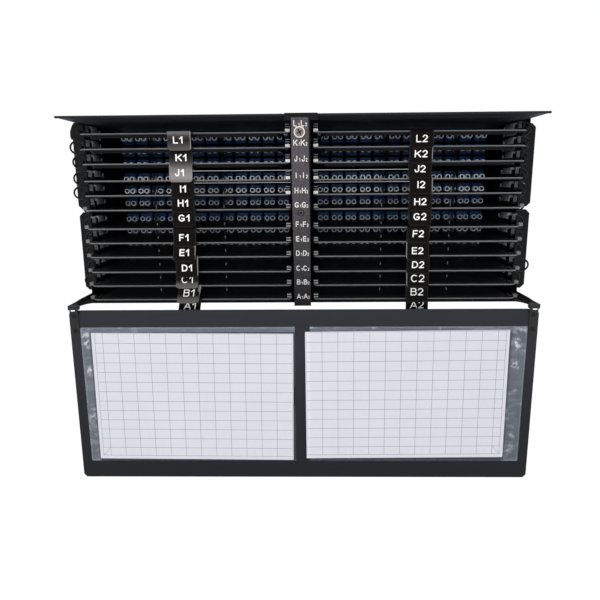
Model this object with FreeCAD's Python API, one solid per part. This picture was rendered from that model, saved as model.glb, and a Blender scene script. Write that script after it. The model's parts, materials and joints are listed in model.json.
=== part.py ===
import FreeCAD, Part
import math
import os

# Rack fibre splice enclosure, four rack units high, shown with its front door dropped open.
# Frame: X to the right, Y into the rack, Z up, in millimetres.
# Origin: on the front face of the mounting ears, at the centre of the rack slots.

# Rack standard and mounting ears
RACK_WIDTH = 482.6
UNIT_HEIGHT = 44.45
UNITS = 4
EAR_REACH = 21.3
SLOT_EDGE = 8.75
SLOT_WIDTH = 6.8
SLOT_LENGTH = 10.0
EAR_SHEET = 2.0
EAR_GAP = 3.0
EAR_END_GAP = 2.5
EAR_CORNER = 4.0
EAR_LEAF_DEPTH = 32.0
EAR_LEAF_INSET = 5.5

# Folded sheet body and its cover
BODY_DEPTH = 300.0
SHEET = 1.2
BASE_GAP = 0.2
COVER_GAP = 0.9
BASE_REACH = 61.0
BASE_LIP_INSET = 3.0
CANOPY_REACH = 87.8
HEM_DROP = 2.0
COVER_FLANGE = 10.0
COVER_FLANGE_LENGTH = 100.0
COVER_FLANGE_CLEAR = 0.2
REAR_ENTRY_HEIGHT = 34.0
REAR_ENTRY_INNER = 12.0
REAR_ENTRY_OUTER = 20.8
REAR_ENTRY_RISE = 109.5

# Trays
ROW_NAMES = "ABCDEFGHIJKL"
ROWS_PER_UNIT = 3
TRAY_PITCH = 13.97
GROUP_DROP = (0.0, 1.6, 0.0, 0.7)
TRAY_SHEET = 1.2
TRAY_INNER = 11.0
TRAY_SIDE_GAP = 10.8
TRAY_REACH = 58.0
TRAY_LENGTH = 240.0
RUN_CLEAR = 0.3
RUNNER_START = -20.0
LIP_HEIGHT = 0.8
LIP_DEPTH = 2.0
POST_WIDTH = 7.5
POST_DEPTH = 7.0
POST_HEIGHT = 5.2
RIM_HEIGHT = 8.0
RIM_SHEET = 1.2
RIM_START = 90.0
SPLICE_WIDTH = 112.0
SPLICE_DEPTH = 34.0
SPLICE_HEIGHT = 6.0
SPLICE_FRONT = 105.0
TAB_CENTRE = 113.0
TAB_WIDTH = 21.5
TAB_REACH = 3.5
RING_STRAIGHT = 14.0
RING_HEIGHT = 12.4
RING_DROP = 2.0
RING_WALL = 1.5
RING_DEPTH = 2.0
RING_SETBACK = 17.0

# Duplex fibre adapters
ADAPTER_PITCH = 16.24
ADAPTER_INNER_MARGIN = 12.1
ADAPTER_OUTER_MARGIN = 7.4
ADAPTER_WIDTH = 13.6
ADAPTER_HEIGHT = 9.6
ADAPTER_LENGTH = 27.0
ADAPTER_FACE = 58.6

# Tray guides
DIVIDER_WIDTH = 16.4
GUIDE_SHEET = 1.2
GUIDE_REACH = 26.0
GUIDE_LENGTH = 216.0
GUIDE_TOP_GAP = 1.8
LEDGE_LAP = 3.0
LEDGE_START = -18.0
DIVIDER_CLEAR = 0.8
STOP_DEPTH = 3.6
STOP_CLEAR = 1.0
STOP_HEIGHT = 6.0
STOP_RISE = 4.0
STOP_LENGTH = 24.5
STOP_INSET = 1.5

# Slanted index bar and door catch
BAR_SHEET = 1.5
BAR_HEAD_WIDTH = 29.4
BAR_HEAD_HEIGHT = 6.0
BAR_TOP_LAP = 0.6
BAR_FOOT_LAP = 3.0
DIVIDER_CANOPY_GAP = 4.0
MAGNET_RADIUS = 5.1
MAGNET_THICK = 3.6
MAGNET_HOLE = 1.7
MAGNET_RISE = 72.6

# Door, hinges, pockets and chart sheets
HINGE_REACH = 94.5
HINGE_RISE = 3.4
ARM_SHEET = 2.4
ARM_HEIGHT = 8.0
ARM_CORNER = 2.4
ARM_FOOT = 45.0
ARM_CLEAR = 0.5
PIN_RADIUS = 2.0
PIN_CLEAR = 0.06
BARREL_RADIUS = 3.4
DOOR_SHEET = 1.2
DOOR_HEIGHT = 171.0
DOOR_SIDE_CLEAR = 0.3
DOOR_TOP_DROP = 2.3
DOOR_SET = 2.55
DOOR_CORNER = 3.0
LEAF_SHEET = 1.2
LEAF_WIDTH = 8.0
LEAF_DROP = 26.0
LEAF_EDGE = 1.1
NOTCH_SIDE = 1.6
NOTCH_DEPTH = 3.6
POCKET_THICK = 2.0
POCKET_FILM = 0.4
POCKET_SEAM = 1.5
POCKET_INNER = 7.0
POCKET_SIDE_CLEAR = 0.4
POCKET_HEIGHT = 136.7
POCKET_DROP = 16.5
THUMB_SIDE = -1
THUMB_RADIUS = 10.0
THUMB_DEPTH = 4.0
CHART_HEIGHT = 129.0
CHART_THICK = 0.6
CHART_RISE = 0.9
CHART_INNER = 9.0
CHART_OUTER_GAP = 9.7
CHART_SLIP = 6.0
CHART_SLIP_SIDE = 1

# Places worked out from the sizes above
UNIT_HALF = UNIT_HEIGHT * UNITS / 2
BASE_UNDER = -UNIT_HALF + BASE_GAP
BASE_TOP = BASE_UNDER + SHEET
COVER_TOP = UNIT_HALF - COVER_GAP
COVER_UNDER = COVER_TOP - SHEET
EAR_OUT = RACK_WIDTH / 2
WALL_OUT = EAR_OUT - EAR_REACH
WALL_IN = WALL_OUT - SHEET
GUIDE_FACE = WALL_IN - GUIDE_SHEET
RUNNER_OUTER = GUIDE_FACE - STOP_DEPTH - STOP_CLEAR
RUNNER_INNER = DIVIDER_WIDTH / 2 + DIVIDER_CLEAR
TRAY_OUTER = WALL_OUT - TRAY_SIDE_GAP
TRAY_FRONT = -TRAY_REACH
TRAY_REAR = TRAY_FRONT + TRAY_LENGTH
HINGE_Y = -HINGE_REACH
HINGE_Z = -UNIT_HALF + HINGE_RISE
DOOR_HALF = WALL_OUT - DOOR_SIDE_CLEAR
DOOR_TOP = HINGE_Z - DOOR_TOP_DROP
DOOR_INSIDE = HINGE_Y - DOOR_SET
LEAF_OUT = DOOR_HALF - LEAF_EDGE
LEAF_IN = LEAF_OUT - LEAF_WIDTH
HEM_UNDER = COVER_TOP - HEM_DROP
BAR_SLOPE = (CANOPY_REACH - BASE_REACH) / (HEM_UNDER - BASE_UNDER)

ADAPTER_FIRST = TRAY_INNER + ADAPTER_INNER_MARGIN
ADAPTER_COUNT = 1 + round((TRAY_OUTER - ADAPTER_OUTER_MARGIN - ADAPTER_FIRST) // (ADAPTER_PITCH - 1e-6))

SIDES = (-1, 1)
SLACK = 1.0


def vec(x, y, z):
    return FreeCAD.Vector(x, y, z)


def box(x, y, z):
    """A block between two limits on each axis, given in either order."""
    low = [min(span) for span in (x, y, z)]
    high = [max(span) for span in (x, y, z)]
    sizes = [b - a for a, b in zip(low, high)]
    return Part.makeBox(sizes[0], sizes[1], sizes[2], vec(low[0], low[1], low[2]))


def prism(points, travel):
    """A flat outline of points, carried along a vector."""
    return Part.Face(Part.makePolygon(points + points[:1])).extrude(travel)


def side_prism(outline, x):
    """A (y, z) outline carried along X between two limits."""
    start, end = min(x), max(x)
    return prism([vec(start, y, z) for y, z in outline], vec(end - start, 0, 0))


def rod(radius, x, y, z):
    """A round rod along X between two limits."""
    start, end = min(x), max(x)
    return Part.makeCylinder(radius, end - start, vec(start, y, z), vec(1, 0, 0))


def fuse(solids):
    """One solid from touching or overlapping solids, with its coplanar faces joined."""
    return solids[0].multiFuse(solids[1:]).removeSplitter()


def mirrored(make):
    """The left and right copies of a piece that make(side) builds."""
    return [make(side) for side in SIDES]


def row_under(row):
    """Height of a tray's underside: three rows to a rack unit, each group of three set down a little."""
    unit, step = divmod(row, ROWS_PER_UNIT)
    return BASE_TOP + RUN_CLEAR + unit * UNIT_HEIGHT + step * TRAY_PITCH - GROUP_DROP[unit]


def bar_back(z):
    """Y of the index bar's back face: it leans from the canopy's hem to the base plate's edge."""
    return -CANOPY_REACH + (HEM_UNDER - z) * BAR_SLOPE


def chassis_shell():
    outer = box((-WALL_OUT, WALL_OUT), (0, BODY_DEPTH), (BASE_UNDER, COVER_UNDER))
    room = box((-WALL_IN, WALL_IN), (-SLACK, BODY_DEPTH - SHEET), (BASE_TOP, COVER_TOP))
    lip_half = WALL_OUT - BASE_LIP_INSET
    lip = box((-lip_half, lip_half), (-BASE_REACH, SLACK), (BASE_UNDER, BASE_TOP))
    shell = fuse([outer.cut(room), lip])
    entry_y = (BODY_DEPTH - SHEET - SLACK, BODY_DEPTH + SLACK)
    entry_z = (BASE_TOP + REAR_ENTRY_RISE, BASE_TOP + REAR_ENTRY_RISE + REAR_ENTRY_HEIGHT)
    for side in SIDES:
        entry_x = (side * REAR_ENTRY_INNER, side * (WALL_IN - REAR_ENTRY_OUTER))
        shell = shell.cut(box(entry_x, entry_y, entry_z))
    return shell


def top_cover():
    plate = box((-WALL_OUT, WALL_OUT), (-CANOPY_REACH, BODY_DEPTH), (COVER_UNDER, COVER_TOP))
    hem = box((-WALL_OUT, WALL_OUT), (-CANOPY_REACH, -CANOPY_REACH + SHEET), (HEM_UNDER, COVER_TOP))
    flange_rear = BODY_DEPTH - SHEET - COVER_FLANGE_CLEAR

    def flange(side):
        out = WALL_IN - COVER_FLANGE_CLEAR
        return box(
            (side * out, side * (out - SHEET)),
            (flange_rear - COVER_FLANGE_LENGTH, flange_rear),
            (COVER_UNDER - COVER_FLANGE, COVER_UNDER),
        )

    return fuse([plate, hem] + mirrored(flange))


def ear_slot(side, z):
    """A rack slot: a round-ended hole that runs along X through the ear."""
    reach = (SLOT_LENGTH - SLOT_WIDTH) / 2
    middle = side * (EAR_OUT - SLOT_EDGE)
    depth = EAR_SHEET + 2 * SLACK
    ends = [
        Part.makeCylinder(SLOT_WIDTH / 2, depth, vec(middle + shift, -SLACK, z), vec(0, 1, 0))
        for shift in (-reach, reach)
    ]
    across = (z - SLOT_WIDTH / 2, z + SLOT_WIDTH / 2)
    waist = box((middle - reach, middle + reach), (-SLACK, depth - SLACK), across)
    return fuse(ends + [waist])


def mounting_ear(side, level):
    """An angle of two leaves for half of the height: a slotted flange and a leaf on the body's side."""
    z_near = level * EAR_GAP / 2
    z_far = level * (UNIT_HALF - EAR_END_GAP)
    flange = box((side * WALL_OUT, side * EAR_OUT), (0, EAR_SHEET), (z_near, z_far))
    outer_edges = [
        edge for edge in flange.Edges
        if abs(edge.CenterOfMass.x - side * EAR_OUT) < SLACK / 2
        and abs(edge.CenterOfMass.y - EAR_SHEET / 2) < EAR_SHEET / 4
    ]
    flange = flange.makeChamfer(EAR_CORNER, outer_edges)
    leaf = box(
        (side * WALL_OUT, side * (WALL_OUT + EAR_SHEET)),
        (0, EAR_LEAF_DEPTH),
        (z_near + level * EAR_LEAF_INSET, z_far - level * EAR_LEAF_INSET),
    )
    ear = fuse([flange, leaf])
    for unit in range(UNITS // 2):
        ear = ear.cut(ear_slot(side, level * (unit + 0.5) * UNIT_HEIGHT))
    relief_top = HINGE_Z + ARM_HEIGHT / 2 + ARM_CLEAR
    relief = box(
        (side * (WALL_OUT - SLACK), side * (WALL_OUT + ARM_SHEET + ARM_CLEAR)),
        (-SLACK, EAR_LEAF_DEPTH + SLACK),
        (-UNIT_HALF - SLACK, relief_top),
    )
    return ear.cut(relief)


def mounting_ears():
    return [mounting_ear(side, level) for side in SIDES for level in (-1, 1)]


def centre_divider():
    """A folded channel behind the index bar, with a ledge under the inner edge of each tray."""
    half = DIVIDER_WIDTH / 2
    rear = GUIDE_LENGTH - GUIDE_REACH
    nose_y = -CANOPY_REACH + DIVIDER_CANOPY_GAP
    nose_z = HEM_UNDER - DIVIDER_CANOPY_GAP
    outline = [
        (nose_y, COVER_UNDER),
        (bar_back(nose_z), nose_z),
        (bar_back(BASE_TOP), BASE_TOP),
        (rear, BASE_TOP),
        (rear, COVER_UNDER),
    ]
    inside = [
        (nose_y + GUIDE_SHEET, COVER_TOP),
        (nose_y + GUIDE_SHEET, COVER_UNDER),
        (bar_back(nose_z) + GUIDE_SHEET, nose_z),
        (bar_back(BASE_TOP) + GUIDE_SHEET, BASE_TOP),
        (bar_back(BASE_TOP) + GUIDE_SHEET, BASE_TOP - SLACK),
        (rear + SLACK, BASE_TOP - SLACK),
        (rear + SLACK, COVER_TOP),
    ]
    channel = side_prism(outline, (-half, half))
    channel = channel.cut(side_prism(inside, (-half + GUIDE_SHEET, half - GUIDE_SHEET)))
    ledges = []
    for row in range(1, len(ROW_NAMES)):
        seat = row_under(row) - RUN_CLEAR
        for side in SIDES:
            ledges.append(box(
                (side * (half - GUIDE_SHEET / 2), side * (RUNNER_INNER + LEDGE_LAP)),
                (LEDGE_START, rear),
                (seat - GUIDE_SHEET, seat),
            ))
    return fuse([channel] + ledges)


def side_guide(side):
    """A guide plate on a side wall: a ledge and a stop block for each tray above the lowest."""
    rear = GUIDE_LENGTH - GUIDE_REACH
    foot = row_under(1) - RUN_CLEAR - GUIDE_SHEET
    pieces = [box(
        (side * GUIDE_FACE, side * WALL_IN),
        (-GUIDE_REACH, rear),
        (foot, COVER_UNDER - GUIDE_TOP_GAP),
    )]
    for row in range(1, len(ROW_NAMES)):
        seat = row_under(row) - RUN_CLEAR
        pieces.append(box(
            (side * GUIDE_FACE, side * (RUNNER_OUTER - LEDGE_LAP)),
            (LEDGE_START, rear),
            (seat - GUIDE_SHEET, seat),
        ))
        stop_front = -GUIDE_REACH + STOP_INSET
        pieces.append(box(
            (side * GUIDE_FACE, side * (GUIDE_FACE - STOP_DEPTH)),
            (stop_front, stop_front + STOP_LENGTH),
            (seat + STOP_RISE, seat + STOP_RISE + STOP_HEIGHT),
        ))
    return fuse(pieces)


def index_bar():
    """The leaning bar in front of the divider: a T-shaped head on the canopy's edge, a plain foot below."""
    top = COVER_TOP + BAR_TOP_LAP
    neck = top - BAR_HEAD_HEIGHT
    foot = BASE_UNDER - BAR_FOOT_LAP
    half = DIVIDER_WIDTH / 2
    head = BAR_HEAD_WIDTH / 2
    corners = [
        (-head, top), (head, top), (head, neck), (half, neck),
        (half, foot), (-half, foot), (-half, neck), (-head, neck),
    ]
    lean = math.hypot(1.0, BAR_SLOPE)
    outward = vec(0, -BAR_SHEET / lean, -BAR_SHEET * BAR_SLOPE / lean)
    return prism([vec(x, bar_back(z), z) for x, z in corners], outward)


def catch_magnet():
    """A ring magnet, square on the index bar's front face."""
    lean = math.hypot(1.0, BAR_SLOPE)
    outward = vec(0, -1.0 / lean, -BAR_SLOPE / lean)
    seat = vec(0, bar_back(MAGNET_RISE), MAGNET_RISE) + outward * BAR_SHEET
    ring = Part.makeCylinder(MAGNET_RADIUS, MAGNET_THICK, seat, outward)
    return ring.cut(Part.makeCylinder(MAGNET_HOLE, MAGNET_THICK, seat, outward))


def cable_ring(row, side):
    """A D-shaped cable ring clipped to the tray's outer edge, its outer end half a hexagon."""
    centre_z = row_under(row) - RING_DROP + RING_HEIGHT / 2
    y = TRAY_FRONT + RING_SETBACK

    def outline(inset):
        tall = RING_HEIGHT / 2 - inset
        bend = TRAY_OUTER + RING_STRAIGHT
        turns = [math.radians(angle) for angle in range(-90, 91, 60)]
        corners = [(bend + tall * math.cos(turn), tall * math.sin(turn)) for turn in turns]
        corners += [(TRAY_OUTER + inset, tall), (TRAY_OUTER + inset, -tall)]
        return [vec(side * x, y, centre_z + z) for x, z in corners]

    travel = vec(0, RING_DEPTH, 0)
    return prism(outline(0), travel).cut(prism(outline(RING_WALL), travel))


def end_blocks(row, side):
    """The two blocks that clip on the tray floor behind the ends of its lip."""
    floor = row_under(row) + TRAY_SHEET
    lip_back = TRAY_FRONT + LIP_DEPTH
    spans = [(TRAY_INNER, TRAY_INNER + POST_WIDTH), (TRAY_OUTER - POST_WIDTH, TRAY_OUTER)]
    return [
        box((side * near, side * far), (lip_back, lip_back + POST_DEPTH), (floor, floor + POST_HEIGHT))
        for near, far in spans
    ]


def runner_edge(row):
    """Outer edge of a tray's runner; the lowest trays stay narrow, to pass between the door's hinges."""
    return RUNNER_OUTER if row > 0 else TRAY_OUTER


def tray_floor(row, side):
    """A splice tray's floor: a lipped front edge with a pull tongue, and a wider run in the guides."""
    under = row_under(row)
    floor = under + TRAY_SHEET
    lip_top = floor + LIP_HEIGHT
    lip_back = TRAY_FRONT + LIP_DEPTH
    profile = [
        (TRAY_REAR, under), (TRAY_FRONT, under), (TRAY_FRONT, lip_top),
        (lip_back, lip_top), (lip_back, floor), (TRAY_REAR, floor),
    ]
    pieces = [side_prism(profile, (side * TRAY_INNER, side * TRAY_OUTER))]
    runner_x = (side * RUNNER_INNER, side * runner_edge(row))
    pieces.append(box(runner_x, (RUNNER_START, TRAY_REAR), (under, floor)))
    tab_x = (side * (TAB_CENTRE - TAB_WIDTH / 2), side * (TAB_CENTRE + TAB_WIDTH / 2))
    pieces.append(box(tab_x, (TRAY_FRONT - TAB_REACH, TRAY_FRONT), (under, floor)))
    return fuse(pieces)


def tray_rim(row, side):
    """The fibre rim clipped round the rear half of a tray's floor."""
    floor = row_under(row) + TRAY_SHEET
    runner = runner_edge(row)
    rim_outline = [
        (RUNNER_INNER, RIM_START), (RUNNER_INNER + RIM_SHEET, RIM_START),
        (RUNNER_INNER + RIM_SHEET, TRAY_REAR - RIM_SHEET), (runner - RIM_SHEET, TRAY_REAR - RIM_SHEET),
        (runner - RIM_SHEET, RIM_START), (runner, RIM_START),
        (runner, TRAY_REAR), (RUNNER_INNER, TRAY_REAR),
    ]
    return prism([vec(side * x, y, floor) for x, y in rim_outline], vec(0, 0, RIM_HEIGHT))


def splice_holder(row, side):
    """The holder for splice sleeves, clipped on the middle of a tray's floor."""
    floor = row_under(row) + TRAY_SHEET
    tray_middle = (TRAY_INNER + TRAY_OUTER) / 2
    return box(
        (side * (tray_middle - SPLICE_WIDTH / 2), side * (tray_middle + SPLICE_WIDTH / 2)),
        (SPLICE_FRONT, SPLICE_FRONT + SPLICE_DEPTH),
        (floor, floor + SPLICE_HEIGHT),
    )


def tray(row, side):
    """A splice tray's floor with the pieces clipped on it; the lowest row has no cable rings."""
    pieces = [tray_floor(row, side), tray_rim(row, side), splice_holder(row, side)]
    pieces += end_blocks(row, side)
    if row > 0:
        pieces.append(cable_ring(row, side))
    return pieces


def adapter_bank(row, side):
    """Duplex adapters side by side on the tray floor, as many as its width holds."""
    floor = row_under(row) + TRAY_SHEET
    bank = []
    for place in range(ADAPTER_COUNT):
        middle = side * (ADAPTER_FIRST + place * ADAPTER_PITCH)
        bank.append(box(
            (middle - ADAPTER_WIDTH / 2, middle + ADAPTER_WIDTH / 2),
            (ADAPTER_FACE, ADAPTER_FACE + ADAPTER_LENGTH),
            (floor, floor + ADAPTER_HEIGHT),
        ))
    return bank


def hinge_arm(side):
    """A flat arm on the body's side with a clipped end, and the door's pin riveted in it."""
    low, high = HINGE_Z - ARM_HEIGHT / 2, HINGE_Z + ARM_HEIGHT / 2
    front = HINGE_Y - ARM_HEIGHT / 2
    outline = [
        (ARM_FOOT, low), (front + ARM_CORNER, low), (front, low + ARM_CORNER),
        (front, high - ARM_CORNER), (front + ARM_CORNER, high), (ARM_FOOT, high),
    ]
    arm = side_prism(outline, (side * WALL_OUT, side * (WALL_OUT + ARM_SHEET)))
    pin = rod(PIN_RADIUS, (side * LEAF_IN, side * WALL_OUT), HINGE_Y, HINGE_Z)
    return fuse([arm, pin])


def door_panel():
    """The flat drop-down door, notched at its upper corners for the hinge barrels."""
    bottom = DOOR_TOP - DOOR_HEIGHT
    outside = DOOR_INSIDE + DOOR_SHEET
    panel = box((-DOOR_HALF, DOOR_HALF), (DOOR_INSIDE, outside), (bottom, DOOR_TOP))
    corner_edges = [
        edge for edge in panel.Edges
        if abs(edge.CenterOfMass.z - bottom) < SLACK / 2
        and abs(abs(edge.CenterOfMass.x) - DOOR_HALF) < SLACK / 2
    ]
    panel = panel.makeChamfer(DOOR_CORNER, corner_edges)
    for side in SIDES:
        panel = panel.cut(box(
            (side * (LEAF_IN - NOTCH_SIDE), side * (DOOR_HALF + SLACK)),
            (DOOR_INSIDE - SLACK, outside + SLACK),
            (DOOR_TOP - NOTCH_DEPTH, DOOR_TOP + SLACK),
        ))
    return panel


def hinge_leaf(side):
    """A hinge leaf on the door's inside, with a barrel that turns on the arm's pin."""
    across = (side * LEAF_IN, side * LEAF_OUT)
    leaf = box(across, (DOOR_INSIDE, DOOR_INSIDE - LEAF_SHEET), (HINGE_Z - LEAF_DROP, HINGE_Z))
    barrel = rod(BARREL_RADIUS, across, HINGE_Y, HINGE_Z)
    through = (side * (LEAF_IN - SLACK), side * (LEAF_OUT + SLACK))
    bore = rod(PIN_RADIUS + PIN_CLEAR, through, HINGE_Y, HINGE_Z)
    return fuse([leaf, barrel]).cut(bore)


def pocket_limits():
    """The pockets' outer edge, and their upper and lower edges."""
    top = DOOR_TOP - POCKET_DROP
    return LEAF_IN - POCKET_SIDE_CLEAR, top, top - POCKET_HEIGHT


def document_pocket(side):
    """A clear film pocket, welded round three edges and open towards the door's middle.

    The left one has a thumb notch in its front film.
    """
    outer, top, bottom = pocket_limits()
    face = DOOR_INSIDE - POCKET_THICK
    pocket = box((side * POCKET_INNER, side * outer), (DOOR_INSIDE, face), (bottom, top))
    cavity = box(
        (side * (POCKET_INNER - SLACK), side * (outer - POCKET_SEAM)),
        (DOOR_INSIDE - POCKET_FILM, face + POCKET_FILM),
        (bottom + POCKET_SEAM, top - POCKET_SEAM),
    )
    pocket = pocket.cut(cavity)
    if side == THUMB_SIDE:
        thumb_x = side * (POCKET_INNER - THUMB_RADIUS + THUMB_DEPTH)
        thumb_centre = vec(thumb_x, face - SLACK, (top + bottom) / 2)
        thumb = Part.makeCylinder(THUMB_RADIUS, POCKET_FILM + 2 * SLACK, thumb_centre, vec(0, 1, 0))
        pocket = pocket.cut(thumb)
    return pocket


def chart_sheet(side):
    """A printed chart card low in its pocket; the right one has slipped towards the door's middle."""
    outer, top, bottom = pocket_limits()
    low = bottom + POCKET_SEAM + CHART_RISE
    middle = DOOR_INSIDE - POCKET_THICK / 2
    slip = CHART_SLIP if side == CHART_SLIP_SIDE else 0.0
    return box(
        (side * (CHART_INNER - slip), side * (outer - CHART_OUTER_GAP - slip)),
        (middle - CHART_THICK / 2, middle + CHART_THICK / 2),
        (low, low + CHART_HEIGHT),
    )


def main():
    nodes = {
        "chassis_shell": [chassis_shell()],
        "top_cover": [top_cover()],
        "mounting_ears": mounting_ears(),
        "centre_divider": [centre_divider()],
        "side_guides": mirrored(side_guide),
        "index_bar": [index_bar()],
        "catch_magnet": [catch_magnet()],
        "hinge_arms": mirrored(hinge_arm),
        "door_panel": [door_panel()],
        "hinge_leaves": mirrored(hinge_leaf),
        "document_pockets": mirrored(document_pocket),
        "chart_sheets": mirrored(chart_sheet),
    }
    for row, letter in enumerate(ROW_NAMES):
        for column, side in enumerate(SIDES, start=1):
            nodes[f"tray_{letter}{column}"] = tray(row, side)
            nodes[f"adapters_{letter}{column}"] = adapter_bank(row, side)

    os.makedirs("parts", exist_ok=True)
    for name, solids in nodes.items():
        shape = solids[0] if len(solids) == 1 else Part.makeCompound(solids)
        shape.exportStep(os.path.join("parts", name + ".step"))
        print(name, len(shape.Solids), shape.isValid(), round(shape.Volume, 1))


main()
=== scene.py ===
"""Studio looks for a rack fibre splice enclosure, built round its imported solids.

Lengths are in millimetres in this file and become metres when a mesh is built. The frame is the one of
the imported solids: X to the right, Y into the rack, Z up, with the origin on the ears' front face.
"""
import json
import logging
from dataclasses import dataclass, field
from enum import Enum

import bmesh
import bpy
import numpy as np
from mathutils import Matrix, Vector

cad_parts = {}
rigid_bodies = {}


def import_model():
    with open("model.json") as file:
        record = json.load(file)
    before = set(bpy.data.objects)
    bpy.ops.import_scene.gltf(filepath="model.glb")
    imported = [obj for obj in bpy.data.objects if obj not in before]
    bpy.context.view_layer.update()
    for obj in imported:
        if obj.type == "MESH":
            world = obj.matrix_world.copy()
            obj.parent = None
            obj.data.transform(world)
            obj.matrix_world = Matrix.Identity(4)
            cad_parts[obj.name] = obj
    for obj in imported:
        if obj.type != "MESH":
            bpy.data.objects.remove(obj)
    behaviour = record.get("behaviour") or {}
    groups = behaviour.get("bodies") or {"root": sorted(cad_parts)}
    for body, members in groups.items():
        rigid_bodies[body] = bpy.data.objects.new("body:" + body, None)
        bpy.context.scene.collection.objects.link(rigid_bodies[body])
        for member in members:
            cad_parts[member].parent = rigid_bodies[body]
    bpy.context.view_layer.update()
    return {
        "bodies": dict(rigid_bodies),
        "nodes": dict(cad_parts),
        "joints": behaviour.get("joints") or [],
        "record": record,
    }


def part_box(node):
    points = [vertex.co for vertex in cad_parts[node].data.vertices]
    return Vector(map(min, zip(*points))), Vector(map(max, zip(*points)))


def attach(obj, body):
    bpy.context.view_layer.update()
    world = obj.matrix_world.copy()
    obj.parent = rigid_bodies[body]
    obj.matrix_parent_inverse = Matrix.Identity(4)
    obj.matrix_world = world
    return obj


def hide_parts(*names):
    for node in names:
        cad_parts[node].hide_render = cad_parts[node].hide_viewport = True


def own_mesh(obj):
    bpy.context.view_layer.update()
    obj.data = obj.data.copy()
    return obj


LOG = logging.getLogger("splice_enclosure")
MM = 0.001
ROWS = "ABCDEFGHIJKL"
Array = np.ndarray
Material = bpy.types.Material
Node = bpy.types.Node
Piece = bpy.types.Object
Socket = bpy.types.NodeSocket
Span = tuple[float, float]
Triple = tuple[float, float, float]
Colour = Triple


class Axis(Enum):
    """The axis that a flat outline stands across."""

    X = 0
    Y = 1
    Z = 2


class Side(Enum):
    """Left or right of the index bar, with the column number that the labels carry."""

    LEFT = (-1, 1)
    RIGHT = (1, 2)

    @property
    def sign(self) -> int:
        """Direction of the side along X."""
        return self.value[0]

    @property
    def column(self) -> int:
        """Number that stands for the side in a tray's label."""
        return self.value[1]


def unit(vectors: Array) -> Array:
    """Vectors scaled to length one."""
    return vectors / np.linalg.norm(vectors, axis=-1, keepdims=True)


def sideways(ahead: Array) -> Array:
    """A direction square to another one and to Z, or to Y where the other is steep."""
    helper = np.array([0.0, 0.0, 1.0]) if abs(ahead[2]) < 0.9 else np.array([0.0, 1.0, 0.0])
    return unit(np.cross(helper, ahead))


def turned(points: Array, angle: float) -> Array:
    """Flat points turned about the origin by an angle in radians."""
    cosine, sine = np.cos(angle), np.sin(angle)
    return points @ np.array([[cosine, sine], [-sine, cosine]])


def circle(sides: int) -> Array:
    """Points spread evenly round a circle of radius one."""
    turn = np.linspace(0, 2 * np.pi, sides, endpoint=False)
    return np.stack([np.cos(turn), np.sin(turn)], axis=-1)


def grown(span: Span, amount: float) -> Span:
    """A span made longer by an amount at both ends."""
    return (span[0] - amount, span[1] + amount)


def around(middle: float, half: float) -> Span:
    """The span that reaches half a width to both sides of a middle."""
    return (middle - half, middle + half)


def tangents(line: Array, least: float) -> tuple[Array, Array]:
    """Directions along an open line that halve its bends, and the half bends' cosines, from a least one up."""
    step = unit(np.diff(line, axis=0))
    ahead = unit(np.vstack([step[:1], step[:-1] + step[1:], step[-1:]]))
    return ahead, np.clip((ahead * np.vstack([step[:1], step])).sum(axis=1), least, 1)


def rounded(corners: list[Span], radius: float | list[float], steps: int = 4) -> Array:
    """Rounds every corner of a closed outline with an arc that touches its two edges.

    The arc's centre lies on the corner's bisector at radius / sin(half angle), and the arc turns from
    the one touching point to the other in even steps.

    Args:
        corners: the outline's corners in order.
        radius: one radius, or one for each corner.
        steps: points on each arc.

    Returns:
        Points of shape (corners * steps, 2).
    """
    points = np.asarray(corners, float)
    size = np.broadcast_to(np.asarray(radius, float), len(points))
    back = unit(np.roll(points, 1, axis=0) - points)
    ahead = unit(np.roll(points, -1, axis=0) - points)
    half = np.arccos(np.clip((back * ahead).sum(axis=1), -1, 1)) / 2
    centre = points + unit(back + ahead) * (size / np.sin(half))[:, None]
    reach = (size / np.tan(half))[:, None]
    first = points + back * reach - centre
    last = points + ahead * reach - centre
    start = np.arctan2(first[:, 1], first[:, 0])
    turn = np.arctan2(last[:, 1], last[:, 0]) - start
    turn = (turn + np.pi) % (2 * np.pi) - np.pi
    angle = start[:, None] + turn[:, None] * np.linspace(0, 1, steps)
    ring = np.stack([np.cos(angle), np.sin(angle)], axis=-1) * size[:, None, None]
    return (centre[:, None] + ring).reshape(-1, 2)


def rectangle(x: Span, y: Span, radius: float, steps: int = 3) -> Array:
    """A rounded rectangle between two limits on each axis."""
    corners = [(x[0], y[0]), (x[1], y[0]), (x[1], y[1]), (x[0], y[1])]
    return rounded(corners, radius, steps)


def bent_path(points: list[Span], radius: float, steps: int = 6) -> Array:
    """An open line through the points, with its inner corners rounded."""
    arcs = rounded(points, radius, steps).reshape(len(points), steps, 2)[1:-1]
    return np.vstack([points[0], arcs.reshape(-1, 2), points[-1]])


def inset(loop: Array, amount: float) -> Array:
    """Moves a closed outline inwards: each point goes along its bisector by amount / cos(half turn).

    Args:
        loop: closed outline of shape (n, 2), which may turn either way.
        amount: distance from the old edges to the new ones.

    Returns:
        The moved outline.
    """
    before = unit(loop - np.roll(loop, 1, axis=0))
    after = unit(np.roll(loop, -1, axis=0) - loop)
    normal = unit(np.stack([-(before + after)[:, 1], (before + after)[:, 0]], axis=-1))
    share = np.clip((normal * np.stack([-after[:, 1], after[:, 0]], axis=-1)).sum(axis=1), 0.4, 1)
    area = (loop[:, 0] * np.roll(loop[:, 1], -1) - loop[:, 1] * np.roll(loop[:, 0], -1)).sum()
    return loop + normal * (np.sign(area) * amount / share)[:, None]


def stand(loop: Array, axis: Axis, level: float) -> Array:
    """Puts a flat outline across an axis at a level; its two columns are the other two axes in order."""
    return np.insert(loop, axis.value, level, axis=-1)


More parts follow.
